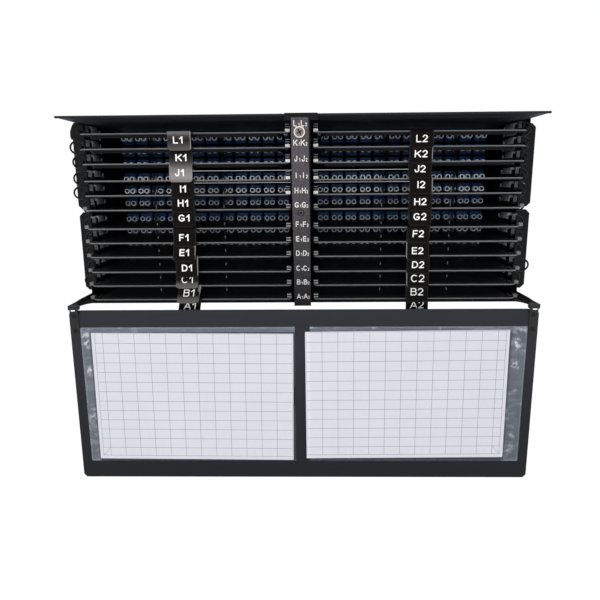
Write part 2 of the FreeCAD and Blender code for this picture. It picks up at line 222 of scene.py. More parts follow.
def smooth_line(points: list[Span], count: int) -> Array:
    """A smooth line through points, as a Catmull-Rom spline with the ends repeated.

    Args:
        points: what the line goes through.
        count: number of points returned, spread evenly over the spans.

    Returns:
        Points of shape (count, 2).
    """
    knots = np.vstack([points[0], points, points[-1]]).astype(float)
    place = np.linspace(0, len(points) - 1 - 1e-9, count)
    span = place.astype(int)
    t = (place - span)[:, None]
    a, b, c, d = (knots[span + shift] for shift in range(4))
    return 0.5 * (2 * b + (c - a) * t + (2 * a - 5 * b + 4 * c - d) * t**2 + (3 * b - a - 3 * c + d) * t**3)


def added(name: str, data: bpy.types.ID) -> Piece:
    """A new object in the scene."""
    obj = bpy.data.objects.new(name, data)
    bpy.context.scene.collection.objects.link(obj)
    return obj


class Skin:
    """Gathers grids of points and flat caps in millimetres and makes one mesh of them."""

    def __init__(self) -> None:
        """Starts with nothing in it."""
        self.points: Array = np.empty((0, 3))
        self.loops: list[Array] = []
        self.coats: list[int] = []

    def grid(self, points: Array, close_rows: bool = False, close_columns: bool = False,
             coat: int = 0) -> Array:
        """Adds a surface given as a grid of points.

        Args:
            points: grid of shape (rows, columns, 3).
            close_rows: joins the last row to the first.
            close_columns: joins the last column to the first.
            coat: index of the finish.

        Returns:
            The points' numbers, as a grid without the repeated row and column.
        """
        rows, columns = points.shape[:2]
        index = np.arange(rows * columns).reshape(rows, columns) + len(self.points)
        self.points = np.vstack([self.points, points.reshape(-1, 3)])
        full = np.vstack([index, index[:1]]) if close_rows else index
        full = np.hstack([full, full[:, :1]]) if close_columns else full
        quads = np.stack([full[:-1, :-1], full[1:, :-1], full[1:, 1:], full[:-1, 1:]], axis=-1)
        self.loops.append(quads.reshape(-1, 4))
        self.coats.append(coat)
        return index

    def cap(self, ring: Array, coat: int = 0) -> None:
        """Closes a ring of points with one flat face."""
        self.loops.append(ring.reshape(1, -1))
        self.coats.append(coat)

    def loft(self, rings: Array, coat: int = 0, under: int | None = None) -> None:
        """A skin over closed rings, with flat ends, of which the first may have a finish of its own."""
        index = self.grid(rings, close_columns=True, coat=coat)
        self.cap(index[0], coat if under is None else under)
        self.cap(index[-1], coat)

    def slab(self, loop: Array, axis: Axis, levels: Span, edge: float, coat: int = 0,
             under: int | None = None) -> None:
        """A plate with broken edges: the outline, drawn in by the edge at both of its faces.

        Args:
            loop: closed outline.
            axis: axis that the plate lies across.
            levels: where its two faces are on that axis.
            edge: width of the broken edge.
            coat: index of the finish.
            under: index of the finish on the lower face, if it has one of its own.
        """
        low, high = levels
        drawn = inset(loop, edge)
        rings = [(drawn, low), (loop, low + edge), (loop, high - edge), (drawn, high)]
        self.loft(np.stack([stand(ring, axis, level) for ring, level in rings]), coat, under)

    def carry(self, path: Array, profile: Array, up: Triple) -> None:
        """Carries a closed profile along an open flat path.

        At each point the profile's first number goes along tangent x up, and its second along up.

        Args:
            path: points of shape (n, 3) in a plane across up.
            profile: closed outline of shape (m, 2).
            up: the plane's normal.
        """
        normal = np.asarray(up, float)
        tangent, lean = tangents(path, 0.5)
        across = np.cross(tangent, normal)[:, None] * profile[None, :, :1] / lean[:, None, None]
        self.loft(path[:, None] + across + normal * profile[None, :, 1:])

    def tube(self, path: Array, radius: float, up: Triple, sides: int = 10) -> None:
        """A round rod along an open flat path."""
        self.carry(path, radius * circle(sides), up)

    def lathe(self, profile: Array | list[Span], centre: Triple, axis: Axis, sides: int, coat: int = 0,
              ends: tuple[bool, bool] = (True, True)) -> None:
        """Turns a profile of (radius, level) about an axis through a centre: (r cos t, r sin t, level).

        Args:
            profile: radii and levels of shape (n, 2).
            centre: a point on the axis.
            axis: the axis.
            sides: number of points round it.
            coat: index of the finish.
            ends: whether the first and the last ring are closed.
        """
        rings = np.stack([stand(circle(sides) * radius, axis, level) for radius, level in profile])
        index = self.grid(rings + np.asarray(centre), close_columns=True, coat=coat)
        for ring, closed in zip((index[0], index[-1]), ends):
            if closed:
                self.cap(ring, coat)

    def shell(self, surface: Array, thickness: Array) -> None:
        """A closed sheet: the grid, the same grid moved by the thickness, and the rim between.

        Args:
            surface: grid of shape (rows, columns, 3).
            thickness: vector from the grid to the sheet's other face.
        """
        both = np.concatenate([surface, (surface + thickness)[:, ::-1]], axis=1)
        index = self.grid(both, close_columns=True)
        columns = surface.shape[1]
        front, back = index[:, :columns], index[:, columns:][:, ::-1]
        for row in (0, -1):
            strip = np.stack([front[row, :-1], front[row, 1:], back[row, 1:], back[row, :-1]], axis=-1)
            self.loops.append(strip)
            self.coats.append(0)

    def moved(self, shifts: Array | list[Triple]) -> "Skin":
        """The same shape repeated at each of the shifts.

        Args:
            shifts: one shift, or several of shape (n, 3).

        Returns:
            All the copies as one skin.
        """
        moves = np.atleast_2d(np.asarray(shifts, float))
        copy = Skin()
        step = (np.arange(len(moves)) * len(self.points))[:, None, None]
        copy.points = (self.points[None] + moves[:, None]).reshape(-1, 3)
        copy.loops = [(faces[None] + step).reshape(-1, faces.shape[1]) for faces in self.loops]
        copy.coats = list(self.coats)
        return copy

    def with_points(self, points: Array) -> "Skin":
        """The same faces on other points."""
        copy = Skin()
        copy.points, copy.loops, copy.coats = points, list(self.loops), list(self.coats)
        return copy

    def mirrored(self, sign: int) -> "Skin":
        """The same shape, or its mirror image in X where the sign is negative."""
        return self.with_points(self.points * np.array([sign, 1, 1]))

    def paired(self) -> "Skin":
        """A shape of the right side together with its mirror image on the left."""
        pair = Skin()
        for side in Side:
            pair.join(self.mirrored(side.sign))
        return pair

    def placed(self, facing: Triple, seats: list[Triple]) -> "Skin":
        """Turns a shape that faces +Z to another direction and repeats it with its origin at each seat."""
        ahead = unit(np.asarray(facing, float))
        side = sideways(ahead)
        return self.with_points(self.points @ np.stack([side, np.cross(ahead, side), ahead])).moved(seats)

    def join(self, other: "Skin") -> None:
        """Takes up another skin's faces."""
        self.loops += [faces + len(self.points) for faces in other.loops]
        self.coats += other.coats
        self.points = np.vstack([self.points, other.points])

    def build(self, name: str, finishes: list[Material], crease: float = 35.0) -> Piece:
        """Makes the mesh object, with faces outwards and edges sharp above the crease angle.

        Args:
            name: the piece's name.
            finishes: materials in the order of the coats.
            crease: angle in degrees above which an edge stays sharp.

        Returns:
            The object, at the origin.
        """
        mesh = bpy.data.meshes.new(name)
        mesh.vertices.add(len(self.points))
        mesh.vertices.foreach_set("co", (self.points * MM).ravel())
        sizes = np.concatenate([np.full(len(faces), faces.shape[1]) for faces in self.loops])
        mesh.loops.add(int(sizes.sum()))
        mesh.loops.foreach_set("vertex_index", np.concatenate([faces.ravel() for faces in self.loops]))
        mesh.polygons.add(len(sizes))
        mesh.polygons.foreach_set("loop_start", np.concatenate([[0], np.cumsum(sizes)[:-1]]))
        coats = np.concatenate([np.full(len(f), c) for f, c in zip(self.loops, self.coats)])
        mesh.polygons.foreach_set("material_index", coats)
        mesh.update(calc_edges=True)
        mesh.validate()
        work = bmesh.new()
        work.from_mesh(mesh)
        bmesh.ops.remove_doubles(work, verts=work.verts, dist=1e-6)
        bmesh.ops.recalc_face_normals(work, faces=work.faces)
        work.to_mesh(mesh)
        work.free()
        mesh.polygons.foreach_set("use_smooth", np.ones(len(mesh.polygons), bool))
        mesh.set_sharp_from_angle(angle=np.radians(crease))
        for finish in finishes:
            mesh.materials.append(finish)
        return added(name, mesh)


class Wire:
    """A shader socket that takes part in Python sums; each operator adds a Math node."""

    def __init__(self, tree: "Tree", socket: Socket) -> None:
        """Remembers the node tree and the output socket."""
        self.tree = tree
        self.socket = socket

    def maths(self, operation: str, first: "Number", second: "Number" = 0.0, clamp: bool = False) -> "Wire":
        """Adds one Math node of two inputs and returns its value."""
        settings = {"operation": operation, "use_clamp": clamp}
        return self.tree.wire(self.tree.node("ShaderNodeMath", {0: first, 1: second}, settings))

    def __add__(self, other: "Number") -> "Wire":
        """Sum."""
        return self.maths("ADD", self, other)

    __radd__ = __add__

    def __sub__(self, other: "Number") -> "Wire":
        """Difference."""
        return self.maths("SUBTRACT", self, other)

    def __rsub__(self, other: "Number") -> "Wire":
        """Difference from a number."""
        return self.maths("SUBTRACT", other, self)

    def __mul__(self, other: "Number") -> "Wire":
        """Product."""
        return self.maths("MULTIPLY", self, other)

    __rmul__ = __mul__

    def __truediv__(self, other: "Number") -> "Wire":
        """Quotient."""
        return self.maths("DIVIDE", self, other)

    def __gt__(self, other: "Number") -> "Wire":
        """One where this is the greater, else zero."""
        return self.maths("GREATER_THAN", self, other)

    def __lt__(self, other: "Number") -> "Wire":
        """One where this is the smaller, else zero."""
        return self.maths("LESS_THAN", self, other)

    def __mod__(self, other: float) -> "Wire":
        """Remainder, never negative."""
        return self.maths("FLOORED_MODULO", self, other)

    def __abs__(self) -> "Wire":
        """Size without the sign."""
        return self.maths("ABSOLUTE", self)

    def larger(self, other: "Number") -> "Wire":
        """The larger of two values."""
        return self.maths("MAXIMUM", self, other)

    def limited(self) -> "Wire":
        """The value held between zero and one."""
        return self.maths("ADD", self, 0.0, clamp=True)

    def eased(self, low: float, high: float) -> "Wire":
        """Smooth step from zero at low to one at high."""
        sockets = {"Value": self, "From Min": low, "From Max": high}
        node = self.tree.node("ShaderNodeMapRange", sockets, {"interpolation_type": "SMOOTHSTEP"})
        return self.tree.wire(node, "Result")


Number = Wire | float


class Tree:
    """A node tree, cleared and ready for new nodes."""

    def __init__(self, base: bpy.types.NodeTree) -> None:
        """Clears the tree."""
        self.base = base
        base.nodes.clear()

    def node(self, kind: str, sockets: dict | None = None, settings: dict | None = None) -> Node:
        """Adds any node.

        Args:
            kind: the node's type.
            sockets: values, wires or output sockets for the inputs, by name or number.
            settings: properties, set before the sockets.

        Returns:
            The node.
        """
        node = self.base.nodes.new(kind)
        for key, value in (settings or {}).items():
            setattr(node, key, value)
        for key, value in (sockets or {}).items():
            self.feed(node.inputs[key], value)
        return node

    def feed(self, socket: Socket, value: object) -> None:
        """Links or sets one input.

        Args:
            socket: the input.
            value: a wire or an output socket to link, or a number or a colour to set.
        """
        source = value.socket if isinstance(value, Wire) else value
        if isinstance(source, Socket):
            self.base.links.new(source, socket)
        elif isinstance(source, tuple) and socket.type == "RGBA":
            socket.default_value = (*source, 1.0)
        else:
            socket.default_value = source

    def wire(self, node: Node, output: str | int = 0) -> Wire:
        """One of a node's outputs."""
        return Wire(self, node.outputs[output])

    def seen(self) -> Wire:
        """One for camera, glossy and transmitted rays, which see the white background."""
        path = self.node("ShaderNodeLightPath")
        rays = ("Camera", "Glossy", "Transmission")
        camera, glossy, clear = (self.wire(path, f"Is {ray} Ray") for ray in rays)
        return camera.larger(glossy).larger(clear)

    def finish(self, output: str, share: Wire, first: Node, second: Node) -> None:
        """Ends the tree with an output node fed by a mix of two shaders, by the share of the second."""
        sockets = {0: share, 1: first.outputs[0], 2: second.outputs[0]}
        mix = self.node("ShaderNodeMixShader", sockets)
        self.node(output, {"Surface": mix.outputs[0]})


class Recipe(Tree):
    """A material's node tree with one Principled shader."""

    def __init__(self, name: str) -> None:
        """Starts the named material."""
        self.material = bpy.data.materials.new(name)
        self.material.use_nodes = True
        super().__init__(self.material.node_tree)
        self.shader = self.node("ShaderNodeBsdfPrincipled")
        self.node("ShaderNodeOutputMaterial", {"Surface": self.shader.outputs["BSDF"]})
        self.place = self.wire(self.node("ShaderNodeTexCoord"), "Object")

    def set(self, name: str, value: object) -> None:
        """Sets or links one of the shader's inputs."""
        self.feed(self.shader.inputs[name], value)

    def axis(self, axis: Axis) -> Wire:
        """One Object coordinate, in metres."""
        node = self.node("ShaderNodeSeparateXYZ", {"Vector": self.place})
        return self.wire(node, axis.value)

    def noise(self, size: float, detail: float = 2.0, stretch: Triple = (1, 1, 1)) -> Wire:
        """Noise from zero to one.

        Args:
            size: about how large its lumps are.
            detail: octaves of finer noise on them.
            stretch: how much longer the lumps are along each axis.

        Returns:
            The noise.
        """
        scale = tuple(1.0 / (size * MM * part) for part in stretch)
        mapping = self.node("ShaderNodeMapping", {"Vector": self.place, "Scale": scale})
        sockets = {"Vector": mapping.outputs[0], "Scale": 1.0, "Detail": detail}
        return self.wire(self.node("ShaderNodeTexNoise", sockets))

    def blend(self, share: Number, first: Wire | Colour, second: Wire | Colour, kind: str = "MIX") -> Wire:
        """Mixes two colours in one of the Mix node's ways."""
        settings = {"data_type": "RGBA", "blend_type": kind}
        return self.wire(self.node("ShaderNodeMix", {0: share, 6: first, 7: second}, settings), 2)

    def bump(self, height: Number, depth: float, strength: float = 1.0) -> None:
        """Raises the surface by a height of zero to one, to a depth in millimetres."""
        sockets = {"Height": height, "Distance": depth * MM, "Strength": strength}
        self.set("Normal", self.wire(self.node("ShaderNodeBump", sockets)))


def scaled(colour: Colour, factor: float, lift: float = 0.0) -> Colour:
    """A colour made lighter or darker, with no part of it above one."""
    return tuple(min(1.0, part * factor + lift) for part in colour)


@dataclass(frozen=True)
class Finish:
    """A finish with a name; each kind of finish fills in its own recipe."""

    name: str

    def fill(self, recipe: Recipe) -> None:
        """Sets the shader's inputs."""
        raise NotImplementedError

    def material(self) -> Material:
        """Makes the finish's material."""
        recipe = Recipe(self.name)
        self.fill(recipe)
        return recipe.material


@dataclass(frozen=True)
class PowderCoat(Finish):
    """Baked powder paint on steel: a fine orange peel, slightly uneven in gloss, with light handling marks.

    Painted shade can darken it towards the bottom: given as a height, a higher one, and the share of the
    colour that is left at the lower one.
    """

    colour: Colour
    roughness: float = 0.5
    grain: float = 0.7
    relief: float = 0.03
    specular: float = 0.2
    fade: Triple | None = None
    speckle: float = 0.0

    def tint(self, recipe: Recipe, shade: Wire) -> Wire:
        """Works the painted shade towards the bottom and the speckle into the paint.

        Args:
            recipe: where the nodes go.
            shade: the paint without them.

        Returns:
            The paint with them.
        """
        # Painted shade: the colour darkens from the higher height down to the lower one.
        if self.fade:
            low, high, left = self.fade
            height = recipe.axis(Axis.Z).eased(low * MM, high * MM)
            shade = recipe.blend(height, scaled(self.colour, left), shade)
        if self.speckle:
            fleck = recipe.noise(1.2, 2.0).eased(0.42, 0.7)
            lift = recipe.blend(fleck * self.speckle, (0.7, 0.7, 0.7), (1.9, 1.9, 1.9))
            shade = recipe.blend(1.0, shade, lift, "MULTIPLY")
        return shade

    def fill(self, recipe: Recipe) -> None:
        """Large clouds and long rub marks vary colour and gloss; the peel is bump."""
        recipe.set("Specular IOR Level", self.specular)
        peel = recipe.noise(self.grain, 3.0)
        cloud = recipe.noise(45.0, 4.0)
        rub = recipe.noise(6.0, 5.0, (6.0, 1.0, 1.0)).eased(0.62, 0.85)
        shade = recipe.blend(cloud * 0.55 + rub * 0.3, self.colour, scaled(self.colour, 1.35, 0.004))
        recipe.set("Base Color", self.tint(recipe, shade))
        recipe.set("Roughness", self.roughness + (cloud - 0.5) * 0.16 - rub * 0.08)
        recipe.bump(peel, self.relief)


@dataclass(frozen=True)
class CoverCoat(PowderCoat):
    """The cover's paint, with painted light on its underside: paler there, the more so the further back."""

    lining: Colour = (0.019, 0.022, 0.027)
    paler: float = 20.0
    level: float = 87.2
    hem: Span = (-86.0, -83.0)
    depth: Span = (-80.0, 90.0)

    def tint(self, recipe: Recipe, shade: Wire) -> Wire:
        """Puts the painted light on the underside, below the level and behind the hem.

        Args:
            recipe: where the nodes go.
            shade: the outside's paint.

        Returns:
            The paint with the painted light on the underside.
        """
        # Painted light: the underside is made paler, the more so towards the rear.
        back = recipe.axis(Axis.Y) / MM
        inside = (recipe.axis(Axis.Z) / MM < self.level) * back.eased(*self.hem)
        lining = recipe.blend(back.eased(*self.depth), self.lining, scaled(self.lining, self.paler))
        return recipe.blend(inside, shade, lining)


@dataclass(frozen=True)
class Moulding(Finish):
    """Moulded plastic with a fine spark-eroded grain and flow marks."""

    colour: Colour
    roughness: float = 0.3
    specular: float = 0.4
    grain: float = 0.25
    relief: float = 0.006
    mottle: float = 0.3

    def fill(self, recipe: Recipe) -> None:
        """Long flow marks vary the colour, finer noise the gloss; the grain is bump."""
        recipe.set("Specular IOR Level", self.specular)
        flow = recipe.noise(14.0, 3.0, (3.0, 1.0, 1.0))
        pale = scaled(self.colour, 1.0 + self.mottle, 0.002)
        recipe.set("Base Color", recipe.blend(flow, self.colour, pale))
        recipe.set("Roughness", self.roughness + (recipe.noise(5.0, 4.0) - 0.5) * 0.5 * self.roughness)
        recipe.bump(recipe.noise(self.grain, 1.0), self.relief)


@dataclass(frozen=True)
class Plating(Finish):
    """Bright metal plating with fine turning lines."""

    colour: Colour
    roughness: float = 0.25

    def fill(self, recipe: Recipe) -> None:
        """Small stains dull the metal; the turning lines are bump."""
        recipe.set("Metallic", 1.0)
        stain = recipe.noise(3.0, 3.0)
        recipe.set("Base Color", recipe.blend(stain.eased(0.45, 0.8), self.colour, scaled(self.colour, 0.75)))
        recipe.set("Roughness", self.roughness + stain * 0.15)
        recipe.bump(recipe.noise(0.3, 1.0, (1.0, 1.0, 8.0)), 0.004)


@dataclass(frozen=True)
class PrintInk(Finish):
    """Screen-printed ink, a little uneven."""

    colour: Colour

    def fill(self, recipe: Recipe) -> None:
        """Thin spots are darker and duller."""
        recipe.set("Specular IOR Level", 0.2)
        thin = recipe.noise(0.6, 2.0).eased(0.55, 0.9)
        recipe.set("Base Color", recipe.blend(thin * 0.25, self.colour, scaled(self.colour, 0.6)))
        recipe.set("Roughness", 0.5 + thin * 0.2)


@dataclass(frozen=True)
class LabelFilm(Finish):
    """Glossy black label film with painted reflection: an attribute blends it from black to pale grey."""

    colour: Colour = (0.0042, 0.0037, 0.0029)
    silver: Colour = (0.365, 0.335, 0.34)

    def fill(self, recipe: Recipe) -> None:
        """The painted reflection, broken up by fine specks, blends the film from black to pale grey."""
        recipe.set("Specular IOR Level", 0.05)
        haze = recipe.wire(recipe.node("ShaderNodeAttribute", None, {"attribute_name": "haze"}), "Fac")
        speck = recipe.noise(0.5, 3.0)
        # Painted reflection: the attribute, broken up by specks, lightens the film towards pale grey.
        reflection_shown = (haze * (0.75 + speck * 0.5)).limited()
        recipe.set("Base Color", recipe.blend(reflection_shown, self.colour, self.silver))
        recipe.set("Roughness", 0.22 + reflection_shown * 0.2 + speck * 0.08)
        recipe.bump(recipe.noise(2.5, 2.0, (2.0, 1.0, 1.0)), 0.05)


@dataclass(frozen=True)
class ClearFilm(Finish):
    """Soft clear film: slightly milky and creased, with pale smudges and painted glints in its margins.

    A margin is where the film begins and ends to show beside a card. A patch is the centre (x, z) and the
    half width and height of a patch of smudges and painted glints.
    """

    colour: Colour = (0.36, 0.41, 0.5)
    smudged: Colour = (0.86, 0.87, 0.9)
    milk: float = 0.15
    right_margin: Span = (194.0, 197.5)
    left_margin: Span = (199.5, 203.0)
    top_margin: Span = (-110.0, -108.0)
    right_clearer: float = 0.25
    folds: tuple[tuple[float, float, float, float], ...] = (
        (-205.0, -112.0, 6.0, 9.0), (-204.0, -121.0, 4.5, 5.0), (-203.5, -147.0, 4.0, 6.0),
        (-204.0, -196.0, 5.0, 10.0), (203.0, -108.0, 9.0, 4.5), (200.5, -121.0, 6.0, 7.0),
        (200.0, -140.0, 5.0, 6.0), (194.5, -192.0, 5.0, 8.0), (197.0, -231.0, 4.0, 8.0),
    )

    def folded(self, x: Wire, z: Wire) -> Wire:
        """Nearness to the patches: the sum of 1 - (dx / width)^2 - (dz / height)^2 where that is positive."""
        offsets = [((x - place) / wide, (z - height) / tall) for place, height, wide, tall in self.folds]
        return sum((1.0 - (across * across + up * up)).limited() for across, up in offsets)

    def fill(self, recipe: Recipe) -> None:
        """Milk and marks show in the margins: smudges, long streaks, and patches of smudges and painted
        glints.
        """
        recipe.set("Specular IOR Level", 0.5)
        drift = recipe.noise(26.0, 3.0, (1.0, 1.0, 2.2))
        x, z = recipe.axis(Axis.X) / MM, recipe.axis(Axis.Z) / MM
        margin = x.eased(*self.right_margin).larger((0.0 - x).eased(*self.left_margin))
        margin = margin.larger(z.eased(*self.top_margin))
        smudge = recipe.noise(9.0, 4.0, (1.0, 1.0, 0.8)).eased(0.56, 0.74)
        rough = recipe.noise(3.5, 3.0, (1.0, 1.0, 1.3)).eased(0.4, 0.7)
        streak = recipe.noise(5.0, 2.0, (9.0, 1.0, 0.8)).eased(0.45, 0.75)
        # The pale marks are smudges and streaks, with painted glints in the patches.
        mark = (margin * (smudge * 0.3 + streak * 0.12 + self.folded(x, z) * rough * 0.75)).limited()
        margin = margin * (1.0 - (x > 0.0) * self.right_clearer)
        recipe.set("Base Color", recipe.blend(mark, self.colour, self.smudged))
        recipe.set("Alpha", self.milk * (0.25 + margin * 0.8) * (0.7 + drift * 0.6) + mark * 0.5)
        recipe.set("Roughness", 0.14 + drift * 0.1)
        recipe.bump(recipe.noise(18.0, 3.0, (1.0, 1.0, 2.5)), 0.5, 0.6)


@dataclass(frozen=True)
class CardSheet:
    """A card in its pocket: its distances from the middle, and how it has slipped and turned there."""

    sign: int
    inner: float
    outer: float
    low: float
    high: float
    lean: float
    rise: float

    @property
    def middle(self) -> Array:
        """The card's centre as (x, z)."""
        return np.array([self.sign * (self.inner + self.outer) / 2, (self.low + self.high) / 2])

    def placed(self, points: Array) -> Array:
        """Turns flat points about the card's centre and lifts them to where the card lies."""
        return turned(points - self.middle, self.lean) + self.middle + np.array([0.0, self.rise])

    def before(self, x: Wire, z: Wire) -> tuple[Wire, Wire]:
        """Where a shaded point was before the card slipped and turned, for small angles."""
        middle_x, middle_z = (float(part) for part in self.middle)
        across, up = x - middle_x, z - (middle_z + self.rise)
        return across + up * self.lean + middle_x, up - across * self.lean + middle_z


@dataclass(frozen=True)
class PrintedCard(Finish):
    """White card printed with a thin grid: a label column on its outer side and a number row at its foot."""

    sheets: tuple[CardSheet, ...]
    label: float = 7.4
    foot: float = 8.4
    inner_margin: float = 0.9
    outer_margin: float = 3.3
    top_margin: float = 0.5
    foot_margin: float = 3.6
    columns: int = 12
    rows: int = 12
    line: float = 0.42
    paper: Colour = (0.592, 0.59, 0.632)
    ink: Colour = (0.2, 0.18, 0.235)

    def limits(self, sheet: CardSheet) -> tuple[Span, Span]:
        """Where a card's grid starts and ends, outwards from the middle and upwards."""
        across = (sheet.inner + self.inner_margin, sheet.outer - self.outer_margin)
        return across, (sheet.low + self.foot_margin, sheet.high - self.top_margin)

    def ruled(self, place: Wire, start: float, end: float, count: int) -> Wire:
        """One on the lines that divide a span into a count of equal cells, both ends ruled, else zero."""
        cell = (end - start) / count
        from_line = abs((place - (start - cell / 2)) % cell - cell / 2)
        return (from_line < self.line / 2) * (place > start - self.line) * (place < end + self.line)

    def printed(self, recipe: Recipe, sheet: CardSheet) -> Wire:
        """The ink on one card: uprights, levels and a diagonal in the corner cell.

        Args:
            recipe: where the nodes go.
            sheet: the card.

        Returns:
            One where the card carries ink, else zero.
        """
        x, z = sheet.before(recipe.axis(Axis.X) / MM, recipe.axis(Axis.Z) / MM)
        along = x * sheet.sign
        (start, end), (low, high) = self.limits(sheet)
        body = end - self.label
        inside = (z > low - self.line) * (z < high) * (along > start) * (along < end + self.line)
        uprights = self.ruled(along, start, body, self.columns).larger(abs(along - end) < self.line / 2)
        levels = self.ruled(z, low + self.foot, high, self.rows).larger(abs(z - low) < self.line / 2)
        corner = (along > body) * (z < low + self.foot)
        diagonal = (abs((z - low) - (end - along) * (self.foot / self.label)) < self.line * 0.7) * corner
        return uprights.larger(levels).larger(diagonal) * inside

    def fill(self, recipe: Recipe) -> None:
        """Ink over paper that fibres vary a little, with painted shade in large soft patches for the card's
        bow.
        """
        recipe.set("Specular IOR Level", 0.3)
        first, second = (self.printed(recipe, sheet) for sheet in self.sheets)
        fibre = recipe.noise(0.8, 3.0)
        # Painted shade: large soft patches darken the paper where a bowed card would turn from the light.
        bow = recipe.noise(60.0, 2.0)
        paper = recipe.blend(fibre * 0.3 + bow * 0.4, self.paper, scaled(self.paper, 0.93))
        recipe.set("Base Color", recipe.blend(first.larger(second) * 0.9, paper, self.ink))
        recipe.set("Roughness", 0.55 + fibre * 0.15)
        recipe.bump(fibre, 0.01)


class CapGrade(Enum):
    """Dust caps with painted shade: one plastic, from clear white to dull, darker on the rows that look less
    lit.
    """

    CLEAR = 0.97
    FROSTED = 0.52
    DULL = 0.34

    def finish(self) -> Moulding:
        """The plastic at this level of painted shade."""
        name = f"dust_cap_{self.name.lower()}"
        return Moulding(name, (0.88 * self.value, 0.93 * self.value, self.value), 0.3, 0.5)


def made(finish: Finish) -> Material:
    """A field that holds a finish's material, made with the dataclass."""
    return field(default_factory=finish.material)


def table(entries: dict) -> dict:
    """A field that starts as a copy of a table."""
    return field(default_factory=entries.copy)


def riding(pieces: list[Piece], body: str) -> list[Piece]:
    """Lets pieces ride on a body."""
    for piece in pieces:
        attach(piece, body)
    return pieces


def trays() -> list[tuple[int, Side, str]]:
    """Each tray's row number from below, its side and its name, from A1 to L2."""
    return [(row, side, f"{letter}{side.column}") for row, letter in enumerate(ROWS) for side in Side]


@dataclass
class Finishes:
    """All the finishes of the enclosure apart from the printed card, each made once."""

    shell_paint: Material = made(PowderCoat("black_powder_coat", (0.004, 0.0044, 0.005), specular=0.12))
    cover_paint: Material = made(CoverCoat("cover_powder_coat", (0.0105, 0.012, 0.0145), 0.55, specular=0.12))
    leaf_paint: Material = made(PowderCoat("leaf_powder_coat", (0.0155, 0.0165, 0.018), specular=0.15))
    guide_paint: Material = made(PowderCoat("guide_powder_coat", (0.006, 0.0065, 0.0075), specular=0.1))
    # The door's and the bar's paint darken towards the bottom: painted shade.
    door_paint: Material = made(PowderCoat(
        "door_powder_coat", (0.0152, 0.0172, 0.0214), specular=0.15, fade=(-258.0, -95.0, 0.52)))
    bar_paint: Material = made(PowderCoat(
        "bar_powder_coat", (0.065, 0.057, 0.063), 0.55, 0.55, 0.06, 0.25, (-90.0, 60.0, 0.32), 0.5))
    tray_plastic: Material = made(Moulding("tray_plastic", (0.018, 0.019, 0.025), 0.5, 0.08, mottle=0.2))
    tray_gloss: Material = made(Moulding("tray_underside", (0.003, 0.0035, 0.0045), 0.04, 0.6, relief=0.0004))
    # The front bead's grey is a painted highlight along the black glossy tray edge.
    rod_plastic: Material = made(Moulding("tray_edge_plastic", (0.125, 0.125, 0.127), 0.35, 0.4))
    ring_plastic: Material = made(Moulding("cable_ring_plastic", (0.004, 0.0042, 0.0048), 0.4, 0.1))
    adapter_plastic: Material = made(Moulding("adapter_plastic", (0.004, 0.03, 0.1), 0.35, 0.3))
    cap_plastics: dict[CapGrade, Material] = field(
        default_factory=lambda: {grade: grade.finish().material() for grade in CapGrade})
    # The bore's dark blue is painted shade for the hollow inside the cap.
    bore_plastic: Material = made(Moulding("dust_cap_bore", (0.006, 0.014, 0.035), 0.5, 0.2))
    block_plastic: Material = made(Moulding("end_block_plastic", (0.62, 0.58, 0.57), 0.35, 0.5))
    # One grey clip plastic, made lighter on the side-facing bosses and darker on the front-facing squares:
    # painted light and shade.
    boss_plastic: Material = made(Moulding("guide_boss_plastic", (0.27, 0.275, 0.285), 0.4, 0.5))
    square_plastic: Material = made(Moulding("guide_square_plastic", (0.065, 0.067, 0.07), 0.45, 0.4))
    clip_plastic: Material = made(Moulding("guide_clip_plastic", (0.24, 0.245, 0.25), 0.4, 0.5))
    dull_plastic: Material = made(Moulding("end_bar_plastic", (0.11, 0.11, 0.114), 0.4, 0.4))
    label_film: Material = made(LabelFilm("label_film"))
    white_ink: Material = made(PrintInk("white_ink", (0.8, 0.8, 0.8)))
    bar_ink: Material = made(PrintInk("bar_ink", (0.72, 0.68, 0.68)))
    faint_ink: Material = made(PrintInk("card_ink", (0.55, 0.55, 0.58)))
    nickel: Material = made(Plating("nickel_plate", (0.93, 0.84, 0.8), 0.2))
    steel: Material = made(Plating("screw_steel", (0.3, 0.27, 0.265), 0.45))
    dark_screw: Material = made(Plating("black_oxide_screw", (0.03, 0.03, 0.032), 0.4))
    film: Material = made(ClearFilm("clear_film"))


@dataclass(frozen=True)
class HingeLine:
    """The door's hinge on the right: its axis, the pin, and the barrel with its bore and its ends."""

    y: float = -94.5
    z: float = -85.5
    pin: float = 1.5
    bore: float = 1.56
    barrel: float = 2.35
    ends: Span = (210.6, 218.6)

    @property
    def centre(self) -> Triple:
        """The point of the axis that lies in the middle plane."""
        return (0.0, self.y, self.z)


HINGE = HingeLine()


def pan_screw(radius: float) -> Skin:
    """A pan-head screw on a plate that faces +Z, with a cross recess; its seat is at the origin.

    The head is a quarter of an ellipse turned about Z, and the recess two crossed bars of dark shade.

    Args:
        radius: the head's radius.

    Returns:
        The screw.
    """
    turn = np.linspace(0, np.pi / 2, 6)
    dome = np.stack([radius * np.cos(turn), radius * 0.5 * np.sin(turn)], axis=-1)
    dome[-1, 0] = radius * 0.12
    skin = Skin()
    skin.lathe(np.vstack([[radius, -0.2], dome]), (0, 0, 0), Axis.Z, 20)
    reach, half, top = radius * 0.55, radius * 0.11, radius * 0.5
    for x, y in ((reach, half), (half, reach)):
        bar = rectangle(around(0.0, x), around(0.0, y), half * 0.5)
        skin.slab(bar, Axis.Z, (top - 0.35, top + 0.03), 0.02, coat=1)
    return skin


